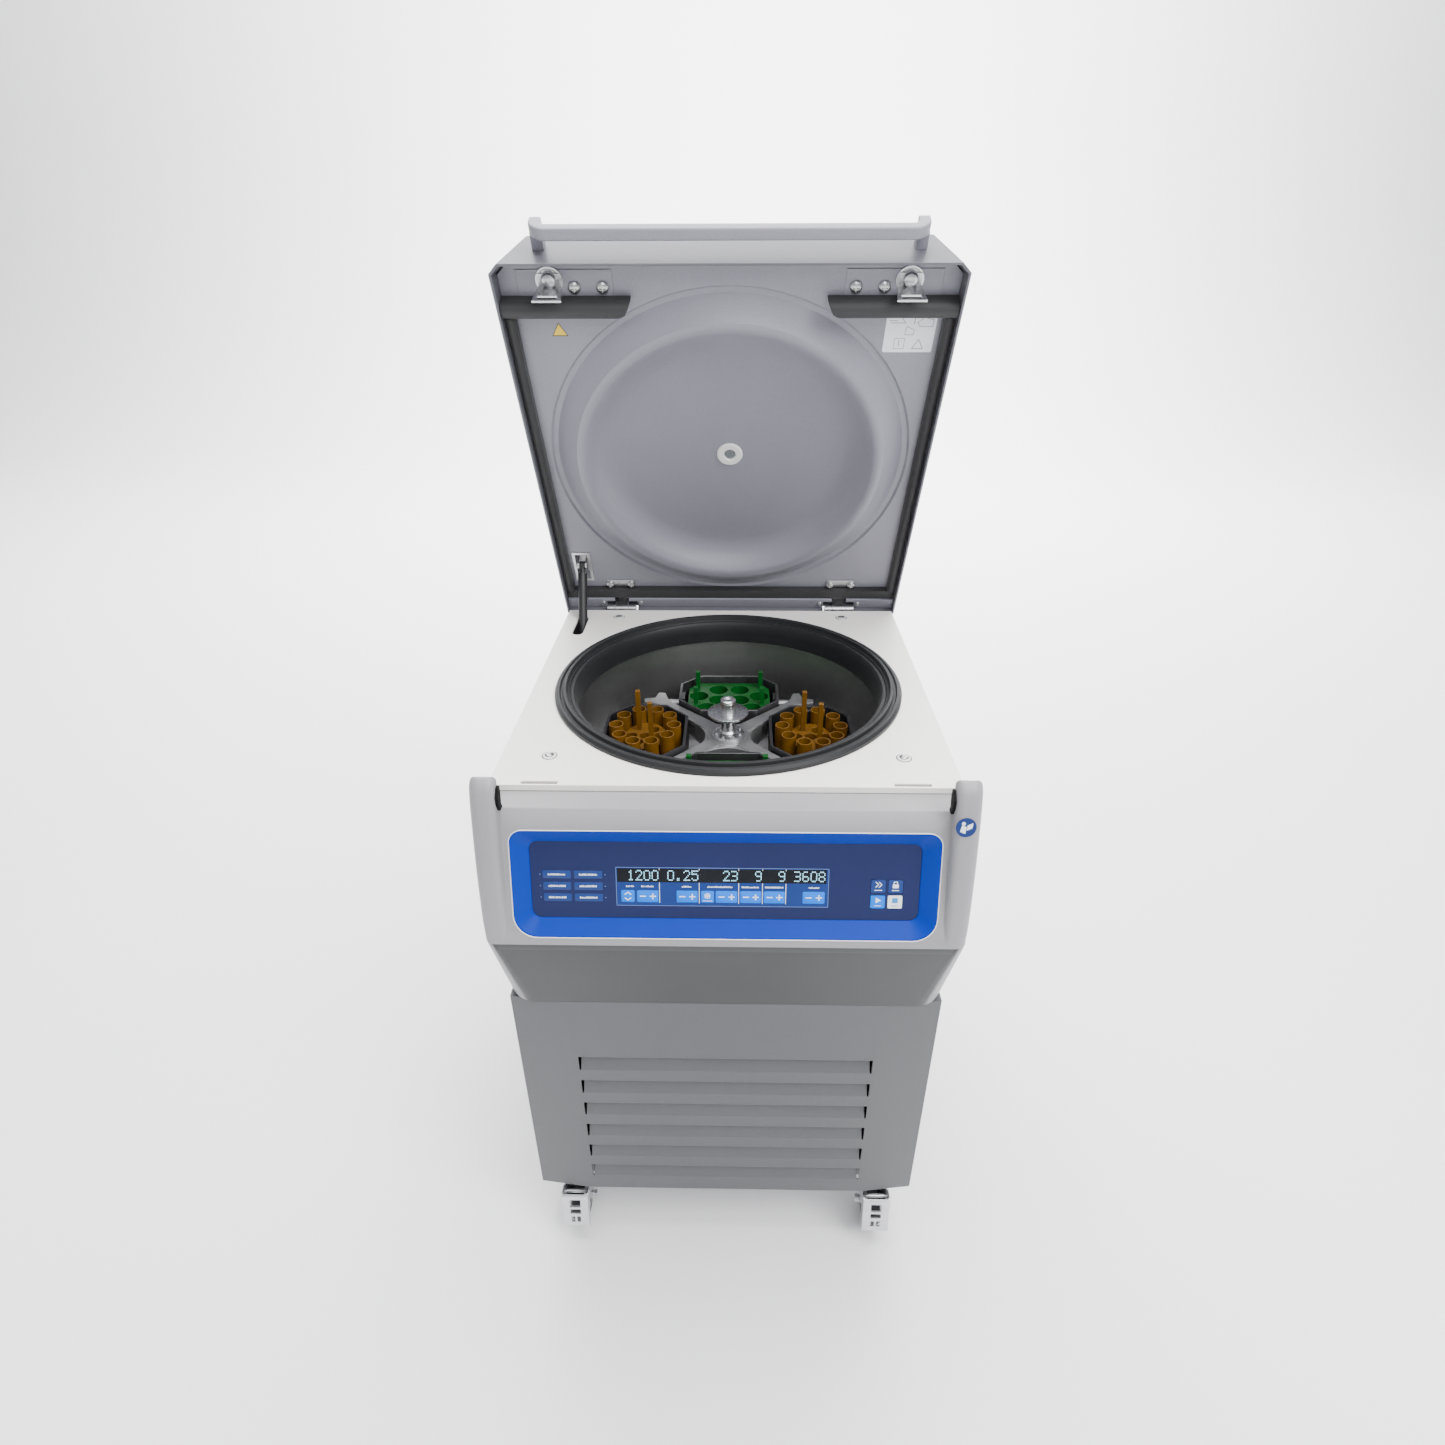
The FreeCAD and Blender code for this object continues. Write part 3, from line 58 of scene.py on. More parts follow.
def finish(name, base, rough=0.5, metallic=0.0, mottle=0.05, patch=6.0, grain=900.0, bump=0.05,
        rough_spread=0.08, edge=0.0012, coat=0.0, brushed=None, specks=0.0, sheen=0.0, edge_highlight=0.0, spec=0.5,
        underside_shade=None):
    """Painted, moulded or brushed surface: patchy tone, fine grain, soft edges, a painted highlight along edges
    and painted shade on faces that point down.
    """
    m = bpy.data.materials.new(name)
    m.use_nodes = True
    t = m.node_tree
    link = t.links.new
    shader = t.nodes["Principled BSDF"]
    shader.inputs["Metallic"].default_value = metallic
    shader.inputs["Coat Weight"].default_value = coat
    shader.inputs["Coat Roughness"].default_value = 0.18
    shader.inputs["Specular IOR Level"].default_value = spec
    if sheen:
        shader.inputs["Sheen Weight"].default_value = sheen
    coords = node(t, "ShaderNodeTexCoord")
    large = node(t, "ShaderNodeTexNoise", Scale=patch, Detail=5.0, Roughness=0.6)
    link(coords.outputs["Object"], large.inputs["Vector"])
    tone = t.nodes.new("ShaderNodeValToRGB")
    low = [c * (1 - mottle) for c in base]
    high = [min(1.0, c * (1 + mottle)) for c in base]
    tone.color_ramp.elements[0].position = 0.3
    tone.color_ramp.elements[0].color = (*low, 1)
    tone.color_ramp.elements[1].position = 0.7
    tone.color_ramp.elements[1].color = (*high, 1)
    link(large.outputs["Fac"], tone.inputs["Fac"])
    colour = tone.outputs["Color"]
    fine = node(t, "ShaderNodeTexNoise", Scale=grain, Detail=3.0, Roughness=0.55)
    if brushed:
        stretch = t.nodes.new("ShaderNodeMapping")
        stretch.inputs["Scale"].default_value = brushed
        link(coords.outputs["Object"], stretch.inputs["Vector"])
        link(stretch.outputs["Vector"], fine.inputs["Vector"])
    else:
        link(coords.outputs["Object"], fine.inputs["Vector"])
    if specks:
        spot = node(t, "ShaderNodeTexNoise", Scale=grain * 0.45, Detail=1.0)
        link(coords.outputs["Object"], spot.inputs["Vector"])
        cut = t.nodes.new("ShaderNodeValToRGB")
        cut.color_ramp.elements[0].position = 0.36
        cut.color_ramp.elements[0].color = (1 - specks, 1 - specks, 1 - specks, 1)
        cut.color_ramp.elements[1].position = 0.62
        cut.color_ramp.elements[1].color = (1, 1, 1, 1)
        link(spot.outputs["Fac"], cut.inputs["Fac"])
        mul = t.nodes.new("ShaderNodeMix")
        mul.data_type = "RGBA"
        mul.blend_type = "MULTIPLY"
        mul.inputs["Factor"].default_value = 1.0
        link(colour, mul.inputs["A"])
        link(cut.outputs["Color"], mul.inputs["B"])
        colour = mul.outputs["Result"]
    # Faces that point down are blended towards the given dark colour: painted shade, kept off the steep side
    # flanks.
    if underside_shade:
        down = t.nodes.new("ShaderNodeNewGeometry")
        parts = t.nodes.new("ShaderNodeSeparateXYZ")
        link(down.outputs["True Normal"], parts.inputs["Vector"])
        facing = t.nodes.new("ShaderNodeMapRange")
        facing.inputs["From Min"].default_value = 0.02
        facing.inputs["From Max"].default_value = -0.12
        link(parts.outputs["Z"], facing.inputs["Value"])
        across = t.nodes.new("ShaderNodeMath")
        across.operation = "ABSOLUTE"
        smooth = t.nodes.new("ShaderNodeSeparateXYZ")
        link(down.outputs["Normal"], smooth.inputs["Vector"])
        link(smooth.outputs["X"], across.inputs[0])
        flank = t.nodes.new("ShaderNodeMapRange")
        flank.inputs["From Min"].default_value = 0.45
        flank.inputs["From Max"].default_value = 0.25
        link(across.outputs["Value"], flank.inputs["Value"])
        shade_mask = t.nodes.new("ShaderNodeMath")
        shade_mask.operation = "MULTIPLY"
        link(facing.outputs["Result"], shade_mask.inputs[0])
        link(flank.outputs["Result"], shade_mask.inputs[1])
        shade_mix = t.nodes.new("ShaderNodeMix")
        shade_mix.data_type = "RGBA"
        link(shade_mask.outputs["Value"], shade_mix.inputs["Factor"])
        link(colour, shade_mix.inputs["A"])
        shade_mix.inputs["B"].default_value = (*underside_shade, 1)
        colour = shade_mix.outputs["Result"]
    soft = node(t, "ShaderNodeBevel", Radius=edge)
    soft.samples = 4
    # Edges are lightened where the bevel normal turns from the surface normal: painted highlight.
    if edge_highlight:
        geo = t.nodes.new("ShaderNodeNewGeometry")
        dot = t.nodes.new("ShaderNodeVectorMath")
        dot.operation = "DOT_PRODUCT"
        link(soft.outputs["Normal"], dot.inputs[0])
        link(geo.outputs["Normal"], dot.inputs[1])
        highlight_mask = t.nodes.new("ShaderNodeMapRange")
        highlight_mask.inputs["From Min"].default_value = 0.97
        highlight_mask.inputs["From Max"].default_value = 0.80
        highlight_mask.inputs["To Max"].default_value = edge_highlight
        link(dot.outputs["Value"], highlight_mask.inputs["Value"])
        highlight_mix = t.nodes.new("ShaderNodeMix")
        highlight_mix.data_type = "RGBA"
        link(highlight_mask.outputs["Result"], highlight_mix.inputs["Factor"])
        link(colour, highlight_mix.inputs["A"])
        highlight_mix.inputs["B"].default_value = (*[min(1.0, c * 1.5 + 0.10) for c in base], 1)
        colour = highlight_mix.outputs["Result"]
    link(colour, shader.inputs["Base Color"])
    spread = t.nodes.new("ShaderNodeMapRange")
    spread.inputs["To Min"].default_value = max(0.02, rough - rough_spread)
    spread.inputs["To Max"].default_value = min(1.0, rough + rough_spread)
    link(fine.outputs["Fac"] if brushed else large.outputs["Fac"], spread.inputs["Value"])
    link(spread.outputs["Result"], shader.inputs["Roughness"])
    rise = node(t, "ShaderNodeBump", Strength=bump, Distance=0.0006)
    link(fine.outputs["Fac"], rise.inputs["Height"])
    link(soft.outputs["Normal"], rise.inputs["Normal"])
    link(rise.outputs["Normal"], shader.inputs["Normal"])
    return m


def glow(name, base, strength):
    """Surface that gives off its own light, for lit digits."""
    m = finish(name, base, rough=0.4, mottle=0.03, bump=0.0)
    shader = m.node_tree.nodes["Principled BSDF"]
    shader.inputs["Emission Color"].default_value = (*base, 1)
    shader.inputs["Emission Strength"].default_value = strength
    return m


def clear(name, base, rough):
    """Clear plastic or glass."""
    m = finish(name, base, rough=rough, mottle=0.02, bump=0.0)
    m.node_tree.nodes["Principled BSDF"].inputs["Transmission Weight"].default_value = 0.85
    return m


M = {
    "grey_paint": finish("grey_paint", (0.20, 0.20, 0.225), 0.42, mottle=0.04, grain=1400, bump=0.10,
        specks=0.08, edge_highlight=0.25),
    "lid_paint": finish("lid_paint", (0.240, 0.238, 0.280), 0.40, mottle=0.04, grain=1400, bump=0.10,
        specks=0.08, edge_highlight=0.25),
    "console_return": finish("console_return", (0.16, 0.16, 0.17), 0.45, mottle=0.03, grain=2200, bump=0.12,
        specks=0.05),
    "lid_outer": finish("lid_outer", (0.105, 0.105, 0.124), 0.40, mottle=0.04, grain=1400, bump=0.10,
        specks=0.08, edge_highlight=0.25),
    "panel_paint": finish("panel_paint", (0.076, 0.077, 0.084), 0.42, mottle=0.05, grain=1400, bump=0.10,
        specks=0.08, edge_highlight=0.3),
    "deck_white": finish("deck_white", (0.93, 0.905, 0.865), 0.38, mottle=0.03, grain=1400, bump=0.08,
        specks=0.04),
    # The console's downward-facing chin is darkened by its last colour: painted shade.
    "console_plastic": finish("console_plastic", (0.275, 0.272, 0.285), 0.45, mottle=0.03, grain=2200,
        bump=0.12, specks=0.05, edge=0.003, underside_shade=(0.019, 0.020, 0.022)),
    "blue_plastic": finish("blue_plastic", (0.0, 0.026, 0.31), 0.45, mottle=0.06, grain=1800, bump=0.05,
        edge=0.0015, spec=0.15),
    "slot_dark": finish("slot_dark", (0.004, 0.004, 0.004), 0.6, mottle=0.1, bump=0.05, edge=0.0003,
        spec=0.1),
    "navy_film": finish("navy_film", (0.006, 0.012, 0.070), 0.45, mottle=0.05, grain=2600, bump=0.08,
        edge=0.0004, spec=0.3),
    "display_black": finish("display_black", (0.005, 0.030, 0.170), 0.40, mottle=0.05, grain=2600, bump=0.04,
        edge=0.0004, spec=0.3),
    "key_azure": finish("key_azure", (0.0, 0.170, 0.80), 0.55, mottle=0.05, grain=2400, bump=0.05,
        edge=0.0007, spec=0.05),
    "key_blue": finish("key_blue", (0.012, 0.038, 0.175), 0.42, mottle=0.05, grain=2400, bump=0.05,
        edge=0.0007, spec=0.3),
    "key_white": finish("key_white", (0.80, 0.84, 0.88), 0.40, mottle=0.03, grain=2400, bump=0.05,
        edge=0.0007),
    "black_rubber": finish("black_rubber", (0.018, 0.018, 0.02), 0.62, mottle=0.15, grain=1600, bump=0.25,
        sheen=0.1),
    "seal_rubber": finish("seal_rubber", (0.009, 0.0095, 0.011), 0.50, mottle=0.15, patch=14, grain=900,
        bump=0.18, sheen=0.05, spec=0.3),
    "stainless": finish("stainless", (0.55, 0.55, 0.56), 0.28, 1.0, 0.06, 30, 60, 0.10, 0.10, 0.0008,
        brushed=(12, 12, 90)),
    "bowl_steel": finish("bowl_steel", (0.42, 0.42, 0.42), 0.36, 1.0, 0.10, 9, 40, 0.16, 0.12, 0.0012,
        brushed=(6, 6, 120)),
    "zinc": finish("zinc", (0.60, 0.60, 0.62), 0.30, 1.0, 0.10, 60, 600, 0.10, 0.10, 0.0009, edge_highlight=0.2),
    "cast_alloy": finish("cast_alloy", (0.33, 0.33, 0.335), 0.44, 0.85, 0.12, 40, 700, 0.35, 0.12, 0.0015,
        edge_highlight=0.4),
    "black_plastic": finish("black_plastic", (0.014, 0.014, 0.016), 0.42, 0.0, 0.2, 40, 1400, 0.22, 0.10,
        0.0012, edge_highlight=0.3),
    "amber_plastic": finish("amber_plastic", (0.128, 0.056, 0.003), 0.42, 0.0, 0.14, 45, 1600, 0.12, 0.08,
        0.0008, edge_highlight=0.25, spec=0.35),
    "green_plastic": finish("green_plastic", (0.0, 0.072, 0.008), 0.42, 0.0, 0.14, 45, 1600, 0.12, 0.08,
        0.0008, edge_highlight=0.2, spec=0.35),
    "white_plastic": finish("white_plastic", (0.74, 0.73, 0.71), 0.40, 0.0, 0.04, 40, 1800, 0.06, 0.06,
        0.0008),
    "window_glass": clear("window_glass", (0.80, 0.86, 0.90), 0.08),
    "tyre_grey": finish("tyre_grey", (0.045, 0.047, 0.052), 0.62, 0.0, 0.18, 60, 900, 0.28, 0.12, 0.0012),
    "bucket_steel": finish("bucket_steel", (0.070, 0.070, 0.073), 0.38, 0.75, 0.25, 40, 700, 0.35, 0.14,
        0.0016, edge_highlight=0.75),
    "iron_dark": finish("iron_dark", (0.035, 0.035, 0.038), 0.55, 0.6, 0.2, 30, 500, 0.5, 0.12, 0.0015,
        edge_highlight=0.25),
    "glass_black": finish("glass_black", (0.002, 0.003, 0.006), 0.25, mottle=0.2, grain=2600, bump=0.02,
        edge=0.0003, spec=0.3),
    "digit_glow": glow("digit_glow", (0.36, 0.78, 1.0), 1.0),
    "print_white": finish("print_white", (0.80, 0.84, 0.90), 0.45, mottle=0.04, bump=0.03, edge=0.0001),
    "print_pale": finish("print_pale", (0.10, 0.17, 0.42), 0.45, mottle=0.04, bump=0.03, edge=0.0001),
    "print_blue": finish("print_blue", (0.02, 0.22, 0.55), 0.45, mottle=0.04, bump=0.03, edge=0.0001),
    "film_yellow": finish("film_yellow", (0.80, 0.56, 0.02), 0.40, mottle=0.06, bump=0.05, edge=0.0001),
    "film_black": finish("film_black", (0.012, 0.012, 0.012), 0.40, mottle=0.1, bump=0.05, edge=0.0001),
    "disc_blue": finish("disc_blue", (0.002, 0.022, 0.14), 0.35, mottle=0.06, bump=0.05, edge=0.0001),
    "paper_line": finish("paper_line", (0.18, 0.18, 0.19), 0.6, mottle=0.06, bump=0.05, edge=0.0001),
    "wheel_hub": finish("wheel_hub", (0.32, 0.32, 0.33), 0.5, mottle=0.1, patch=60, bump=0.1),
}

LOOKS = {"bucket_rear": "bucket_steel", "bucket_front": "bucket_steel", "latch_housings": "slot_dark",
    "console_seals": "slot_dark", "lid_shell": "lid_outer"}
for row in frame["record"]["subparts"]:
    part = NODES[row["node"]]
    part.data.materials.clear()
    part.data.materials.append(M[LOOKS.get(row["node"], row["material_slot"])])
    for face in part.data.polygons:
        face.use_smooth = True
    weld = part.modifiers.new("weld", "WELD")
    weld.merge_threshold = 0.000002
    split = part.modifiers.new("split", "EDGE_SPLIT")
    split.split_angle = SHARP_ANGLE


# ---------------------------------------------------------------- mesh helpers
def publish(name, bm, mat, body, smooth=30):
    """Turns a bmesh in the row frame into a piece that rides on a body."""
    bmesh.ops.recalc_face_normals(bm, faces=bm.faces)
    mesh = bpy.data.meshes.new(name)
    bm.to_mesh(mesh)
    bm.free()
    mesh.materials.append(M[mat])
    obj = bpy.data.objects.new(name, mesh)
    bpy.context.scene.collection.objects.link(obj)
    if smooth:
        mesh.shade_smooth()
        mesh.set_sharp_from_angle(angle=math.radians(smooth))
    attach(obj, body)
    return obj


def extrude_outline(bm, points, offset, crown=0.0):
    """Closed prism from a loop of points, moved by offset; crown draws in the far face."""
    low = [bm.verts.new(p) for p in points]
    mid = sum(points, Vector()) / len(points)
    high = []
    rim = []
    for p in points:
        inward = (mid - p)
        step = inward.normalized() * crown if inward.length > crown else Vector()
        if crown:
            rim.append(bm.verts.new(p + offset * 0.65))
        high.append(bm.verts.new(p + step + offset))
    count = len(points)
    rings = [low, rim, high] if crown else [low, high]
    for a, b in zip(rings, rings[1:]):
        for i in range(count):
            j = (i + 1) % count
            bm.faces.new((a[i], a[j], b[j], b[i]))
    bm.faces.new(low[::-1])
    bm.faces.new(high)


def rounded_rect(x0, x1, y0, y1, r, steps=5):
    loop = []
    for cx, cy, start in ((x1 - r, y1 - r, 0), (x0 + r, y1 - r, 90), (x0 + r, y0 + r, 180),
            (x1 - r, y0 + r, 270)):
        for i in range(steps + 1):
            a = math.radians(start + 90 * i / steps)
            loop.append((cx + r * math.cos(a), cy + r * math.sin(a)))
    return loop


def disc_loop(cx, cy, r, steps=28, start=0.0):
    return [(cx + r * math.cos(start + 2 * math.pi * i / steps),
        cy + r * math.sin(start + 2 * math.pi * i / steps)) for i in range(steps)]


def thick_line(a, b, w):
    d = Vector((b[0] - a[0], b[1] - a[1])).normalized()
    n = Vector((-d.y, d.x)) * (w / 2)
    d = d * (w / 2)
    return [(a[0] - d.x + n.x, a[1] - d.y + n.y), (a[0] - d.x - n.x, a[1] - d.y - n.y),
        (b[0] + d.x - n.x, b[1] + d.y - n.y), (b[0] + d.x + n.x, b[1] + d.y + n.y)]


def lathe(bm, profile, matrix, steps=48):
    """Turned solid: profile of (radius, height) pairs about the matrix's Z axis."""
    rings = []
    for r, h in profile:
        if r < 1e-7:
            rings.append([bm.verts.new(matrix @ Vector((0, 0, h)))])
            continue
        rings.append([bm.verts.new(matrix @ Vector((r * math.cos(2 * math.pi * i / steps),
            r * math.sin(2 * math.pi * i / steps), h))) for i in range(steps)])
    for a, b in zip(rings, rings[1:]):
        for i in range(steps):
            j = (i + 1) % steps
            if len(a) == 1 and len(b) == 1:
                continue
            if len(a) == 1:
                bm.faces.new((a[0], b[i], b[j]))
            elif len(b) == 1:
                bm.faces.new((a[i], a[j], b[0]))
            else:
                bm.faces.new((a[i], a[j], b[j], b[i]))


def axes(origin, z, x=None):
    z = Vector(z).normalized()
    x = Vector(x) if x else (Vector((1, 0, 0)) if abs(z.x) < 0.9 else Vector((0, 1, 0)))
    x = (x - z * x.dot(z)).normalized()
    y = z.cross(x)
    m = Matrix((x, y, z)).transposed().to_4x4()
    m.translation = Vector(origin)
    return m


# ---------------------------------------------------------------- console keypad
RISE = Vector((0, 38, 149)).normalized()
OUT = Vector((0, -149, 38)).normalized()
film_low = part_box("keypad_film")[0]
START = Vector((0, film_low.y - RISE.y * 0.0202 + OUT.y * 0.0125,
    film_low.z - RISE.z * 0.0202 + OUT.z * 0.0155))


def on_film(x, v, w):
    """Point in millimetres on the keypad: right, up its slope and out of it."""
    return START + Vector((x / 1000, 0, 0)) + RISE * (v / 1000) + OUT * (w / 1000)


def decals(name, loops, w0, w1, mat, body="cabinet", crown=0.0):
    bm = bmesh.new()
    for loop in loops:
        extrude_outline(bm, [on_film(x, v, w0) for x, v in loop], OUT * ((w1 - w0) / 1000), crown / 1000)
    return publish(name, bm, mat, body)


FILM = -12.5  # level of the keypad film, in millimetres below the console's face
BOARD = -12.4  # level of the display board
decals("display_windows", [rounded_rect(-126.8, 119.6, 66.8, 84.4, 0.5, 2)], BOARD - 0.02, BOARD + 0.06,
    "glass_black")
frame_line = []
for a, b in (((-128, 85.5), (122, 85.5)), ((-128, 36.5), (122, 36.5)), ((-128, 36.5), (-128, 85.5)),
        ((122, 36.5), (122, 85.5))):
    frame_line.append(thick_line(a, b, 0.7))
decals("board_outline", frame_line, BOARD - 0.05, BOARD + 0.05, "print_pale")
SEPARATORS = (-77.0, -30.0, 16.5, 44.5, 72.0)
decals("board_separators", [thick_line((x, 40.5), (x, 66.2), 0.7) for x in SEPARATORS]
    + [thick_line((x, 84.6), (x, 82.6), 0.5) for x in SEPARATORS],
    BOARD - 0.02, BOARD + 0.09, "print_white")

GLYPHS = {
    "0": "01110100011000110001100011000101110", "1": "00100011000010000100001000010001110",
    "2": "01110100010000100010001000100011111", "3": "11110000010000101110000010000111110",
    "5": "11111100001111000001000011000101110", "6": "01110100001000011110100011000101110",
    "8": "01110100011000101110100011000101110", "9": "01110100011000101111000010000101110",
    ".": "00000000000000000000000000110001100",
}
dots = []
PITCH_X = 1.62
PITCH_Y = 1.95
for word, right in (("1200", -77.8), ("0.25", -30.8), ("23", 15.7), ("9", 43.7), ("9", 71.2),
        ("3608", 118.2)):
    for n, sign in enumerate(reversed(word)):
        x0 = right - n * 9.5 - 4.6 * PITCH_X
        for i, bit in enumerate(GLYPHS[sign]):
            if bit == "1":
                cx = x0 + (i % 5) * PITCH_X
                cy = 69.2 + (6 - i // 5) * PITCH_Y + 0.6
                dots.append(rounded_rect(cx - 0.58, cx + 0.58, cy - 0.70, cy + 0.70, 0.3, 1))
decals("display_digits", dots, BOARD + 0.05, BOARD + 0.10, "digit_glow")

azure = []
marks = []
azure.append(rounded_rect(-122.5, -106.6, 41.0, 56.4, 1.6))
for v, s in ((51.2, 1), (46.2, -1)):
    marks.append(thick_line((-117.8, v), (-114.55, v + 2.6 * s), 1.3))
    marks.append(thick_line((-111.3, v), (-114.55, v + 2.6 * s), 1.3))
azure.append(rounded_rect(-28.1, -12.6, 41.0, 56.4, 1.6))
for n in range(3):
    a = math.radians(60 * n + 30)
    dx, dv = 3.3 * math.cos(a), 3.3 * math.sin(a)
    marks.append(thick_line((-20.35 - dx, 49.9 - dv), (-20.35 + dx, 49.9 + dv), 0.9))
for n in range(6):
    a = math.radians(60 * n + 30)
    marks.append(thick_line((-20.35 + 2.1 * math.cos(a), 49.9 + 2.1 * math.sin(a)),
        (-20.35 + 3.4 * math.cos(a + 0.42), 49.9 + 3.4 * math.sin(a + 0.42)), 0.6))
    marks.append(thick_line((-20.35 + 2.1 * math.cos(a), 49.9 + 2.1 * math.sin(a)),
        (-20.35 + 3.4 * math.cos(a - 0.42), 49.9 + 3.4 * math.sin(a - 0.42)), 0.6))
marks.append(thick_line((-25.6, 43.4), (-15.0, 43.4), 0.7))
for x0, x1 in ((-103.8, -78.4), (-57.0, -31.8), (-10.8, 14.9), (18.3, 43.0), (46.1, 70.9), (91.8, 118.0)):
    azure.append(rounded_rect(x0, x1, 41.0, 56.4, 1.6))
    m0 = x0 + (x1 - x0) * 0.28
    m1 = x0 + (x1 - x0) * 0.74
    marks.append(thick_line((m0 - 2.9, 48.7), (m0 + 2.9, 48.7), 1.4))
    marks.append(thick_line((m1 - 2.9, 48.7), (m1 + 2.9, 48.7), 1.5))
    marks.append(thick_line((m1, 45.8), (m1, 51.6), 1.5))
decals("adjust_keys", azure, BOARD - 0.05, BOARD + 0.35, "key_azure", crown=0.35)
decals("adjust_marks", marks, BOARD + 0.30, BOARD + 0.41, "print_white")

random.seed(7)
tiny = []


def word_bar(x0, x1, v, height):
    """A row of short strokes in place of a printed word."""
    x = x0
    while x < x1 - 0.5:
        w = random.uniform(0.7, 1.5)
        tiny.append(rounded_rect(x, min(x + w, x1), v, v + height * random.choice((1.0, 1.0, 0.72)), 0.18, 1))
        x += w + 0.45


for x0, x1 in ((-98.5, -84.0), (-50.5, -39.5), (-20.5, 9.0), (20.0, 41.0), (47.5, 69.0), (99.0, 111.0)):
    word_bar(x0, x1, 60.4, 2.1)
for x0, x1 in ((-116.5, -111.8), (-110.8, -107.2)):
    word_bar(x0, x1, 60.4, 2.1)
decals("board_captions", tiny, BOARD - 0.02, BOARD + 0.05, "print_white")

program = []
tiny = []
lamps = []
for column, (x0, x1) in enumerate(((-214.7, -181.4), (-177.7, -144.1))):
    for v0, v1 in ((70.8, 80.8), (55.9, 66.0), (41.3, 51.2)):
        program.append(rounded_rect(x0, x1, v0, v1, 1.4))
        word_bar(x0 + 6.2, x1 - 6.2, 0.5 * (v0 + v1) - 1.2, 2.4)
        lamps.append(disc_loop(x0 - 3.2 if column == 0 else x1 + 3.2, 0.5 * (v0 + v1), 0.7, 12))
decals("program_keys", program, FILM - 0.05, FILM + 0.30, "key_blue", crown=0.35)
decals("program_captions", tiny, FILM + 0.26, FILM + 0.35, "print_white")
decals("program_lamps", lamps, FILM - 0.05, FILM + 0.15, "print_pale")

KEY = -12.2  # level of the command keys' tops
chevrons = []
for x in (177.6, 181.4):
    chevrons.append(thick_line((x, 69.6), (x + 3.0, 66.4), 1.0))
    chevrons.append(thick_line((x + 3.0, 66.4), (x, 63.2), 1.0))
chevrons.append(thick_line((176.5, 59.2), (184.5, 59.2), 0.9))
decals("mark_pulse", chevrons, KEY - 0.05, KEY + 0.06, "print_white", "key_pulse")
lock = [rounded_rect(197.2, 204.2, 62.2, 67.0, 0.6, 2), thick_line((198.6, 67.0), (198.6, 69.6), 0.9),
    thick_line((198.8, 70.0), (202.4, 70.0), 0.9), thick_line((202.6, 67.0), (202.6, 69.4), 0.9),
    thick_line((197.0, 59.2), (204.4, 59.2), 0.9)]
decals("mark_open", lock, KEY - 0.05, KEY + 0.06, "print_white", "key_open")
decals("mark_start", [[(178.0, 42.6), (178.0, 49.8), (184.6, 46.2)],
    thick_line((177.0, 39.2), (184.0, 39.2), 0.8)],
    KEY - 0.05, KEY + 0.06, "print_white", "key_start")
decals("mark_stop", [rounded_rect(197.4, 204.0, 43.0, 49.4, 0.4, 2),
    thick_line((197.5, 39.2), (204.0, 39.2), 0.8)],
    KEY - 0.05, KEY + 0.06, "print_blue", "key_stop")


def rim_tube(name, loop, w, radius, mat, body):
    """Round bead along a loop on the keypad's plane."""
    curve = bpy.data.curves.new(name, "CURVE")
    curve.dimensions = "3D"
    line = curve.splines.new("POLY")
    line.points.add(len(loop) - 1)
    for p, (x, v) in zip(line.points, loop):
        p.co = (*on_film(x, v, w), 1)
    line.use_cyclic_u = True
    curve.bevel_depth = radius / 1000
    curve.bevel_resolution = 3
    curve.materials.append(M[mat])
    obj = bpy.data.objects.new(name, curve)
    bpy.context.scene.collection.objects.link(obj)
    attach(obj, body)
    return obj


BEZEL_HALF_WIDTH = 249
BEZEL_HEIGHT = 136
TOP_R = 16
LOW_R = 28


def surround_outline(grow):
    """Rounded outline whose lower corners are wider than its upper ones."""
    loop = []
    x1, v0, v1 = BEZEL_HALF_WIDTH + grow, -grow, BEZEL_HEIGHT + grow
    for cx, cv, r, start in ((x1 - TOP_R, v1 - TOP_R, TOP_R, 0), (-x1 + TOP_R, v1 - TOP_R, TOP_R, 90),
            (-x1 + LOW_R, v0 + LOW_R, LOW_R, 180), (x1 - LOW_R, v0 + LOW_R, LOW_R, 270)):
        for i in range(9):
            a = math.radians(start + 90 * i / 8)
            loop.append((cx + r * math.cos(a), cv + r * math.sin(a)))
    return loop


# pale bead where the blue surround meets the console
rim_tube("surround_bead", surround_outline(0.3), 0.2, 0.7, "white_plastic", "cabinet")

# return strips that close the gap between the console's sides and the cabinet
RETURN_FRONT = -0.2790
RETURN_DEPTH = 0.0127
strips = bmesh.new()
for sign in (-1, 1):
    edge = [(0.2770, -0.0125), (0.2838, -0.0125), (0.2838, -0.172), (0.2800, -0.238), (0.2800, -0.290),
        (0.2770, -0.290)]
    extrude_outline(strips, [Vector((sign * x, RETURN_FRONT, HINGE.z + z)) for x, z in edge],
        Vector((0, RETURN_DEPTH, 0)))
publish("console_returns", strips, "console_return", "cabinet", 0)

# ---------------------------------------------------------------- pillar disc
def onto(node_name, start, direction):
    """Where a line from start first meets a CAD node, and the surface's normal there."""
    found, place, normal, _ = NODES[node_name].ray_cast(Vector(start), Vector(direction).normalized())
    if not found:
        raise RuntimeError("no surface of " + node_name + " on that line")
    return place, normal


def sticker(name, loops, frame_matrix, lift, mat, body, thick=0.00012):
    """Flat decals drawn in millimetres on a plane given by its matrix."""
    bm = bmesh.new()
    rise = frame_matrix.to_3x3() @ Vector((0, 0, 1))
    for loop in loops:
        extrude_outline(bm, [frame_matrix @ Vector((x / 1000, y / 1000, lift)) for x, y in loop],
            rise * thick)
    return publish(name, bm, mat, body)


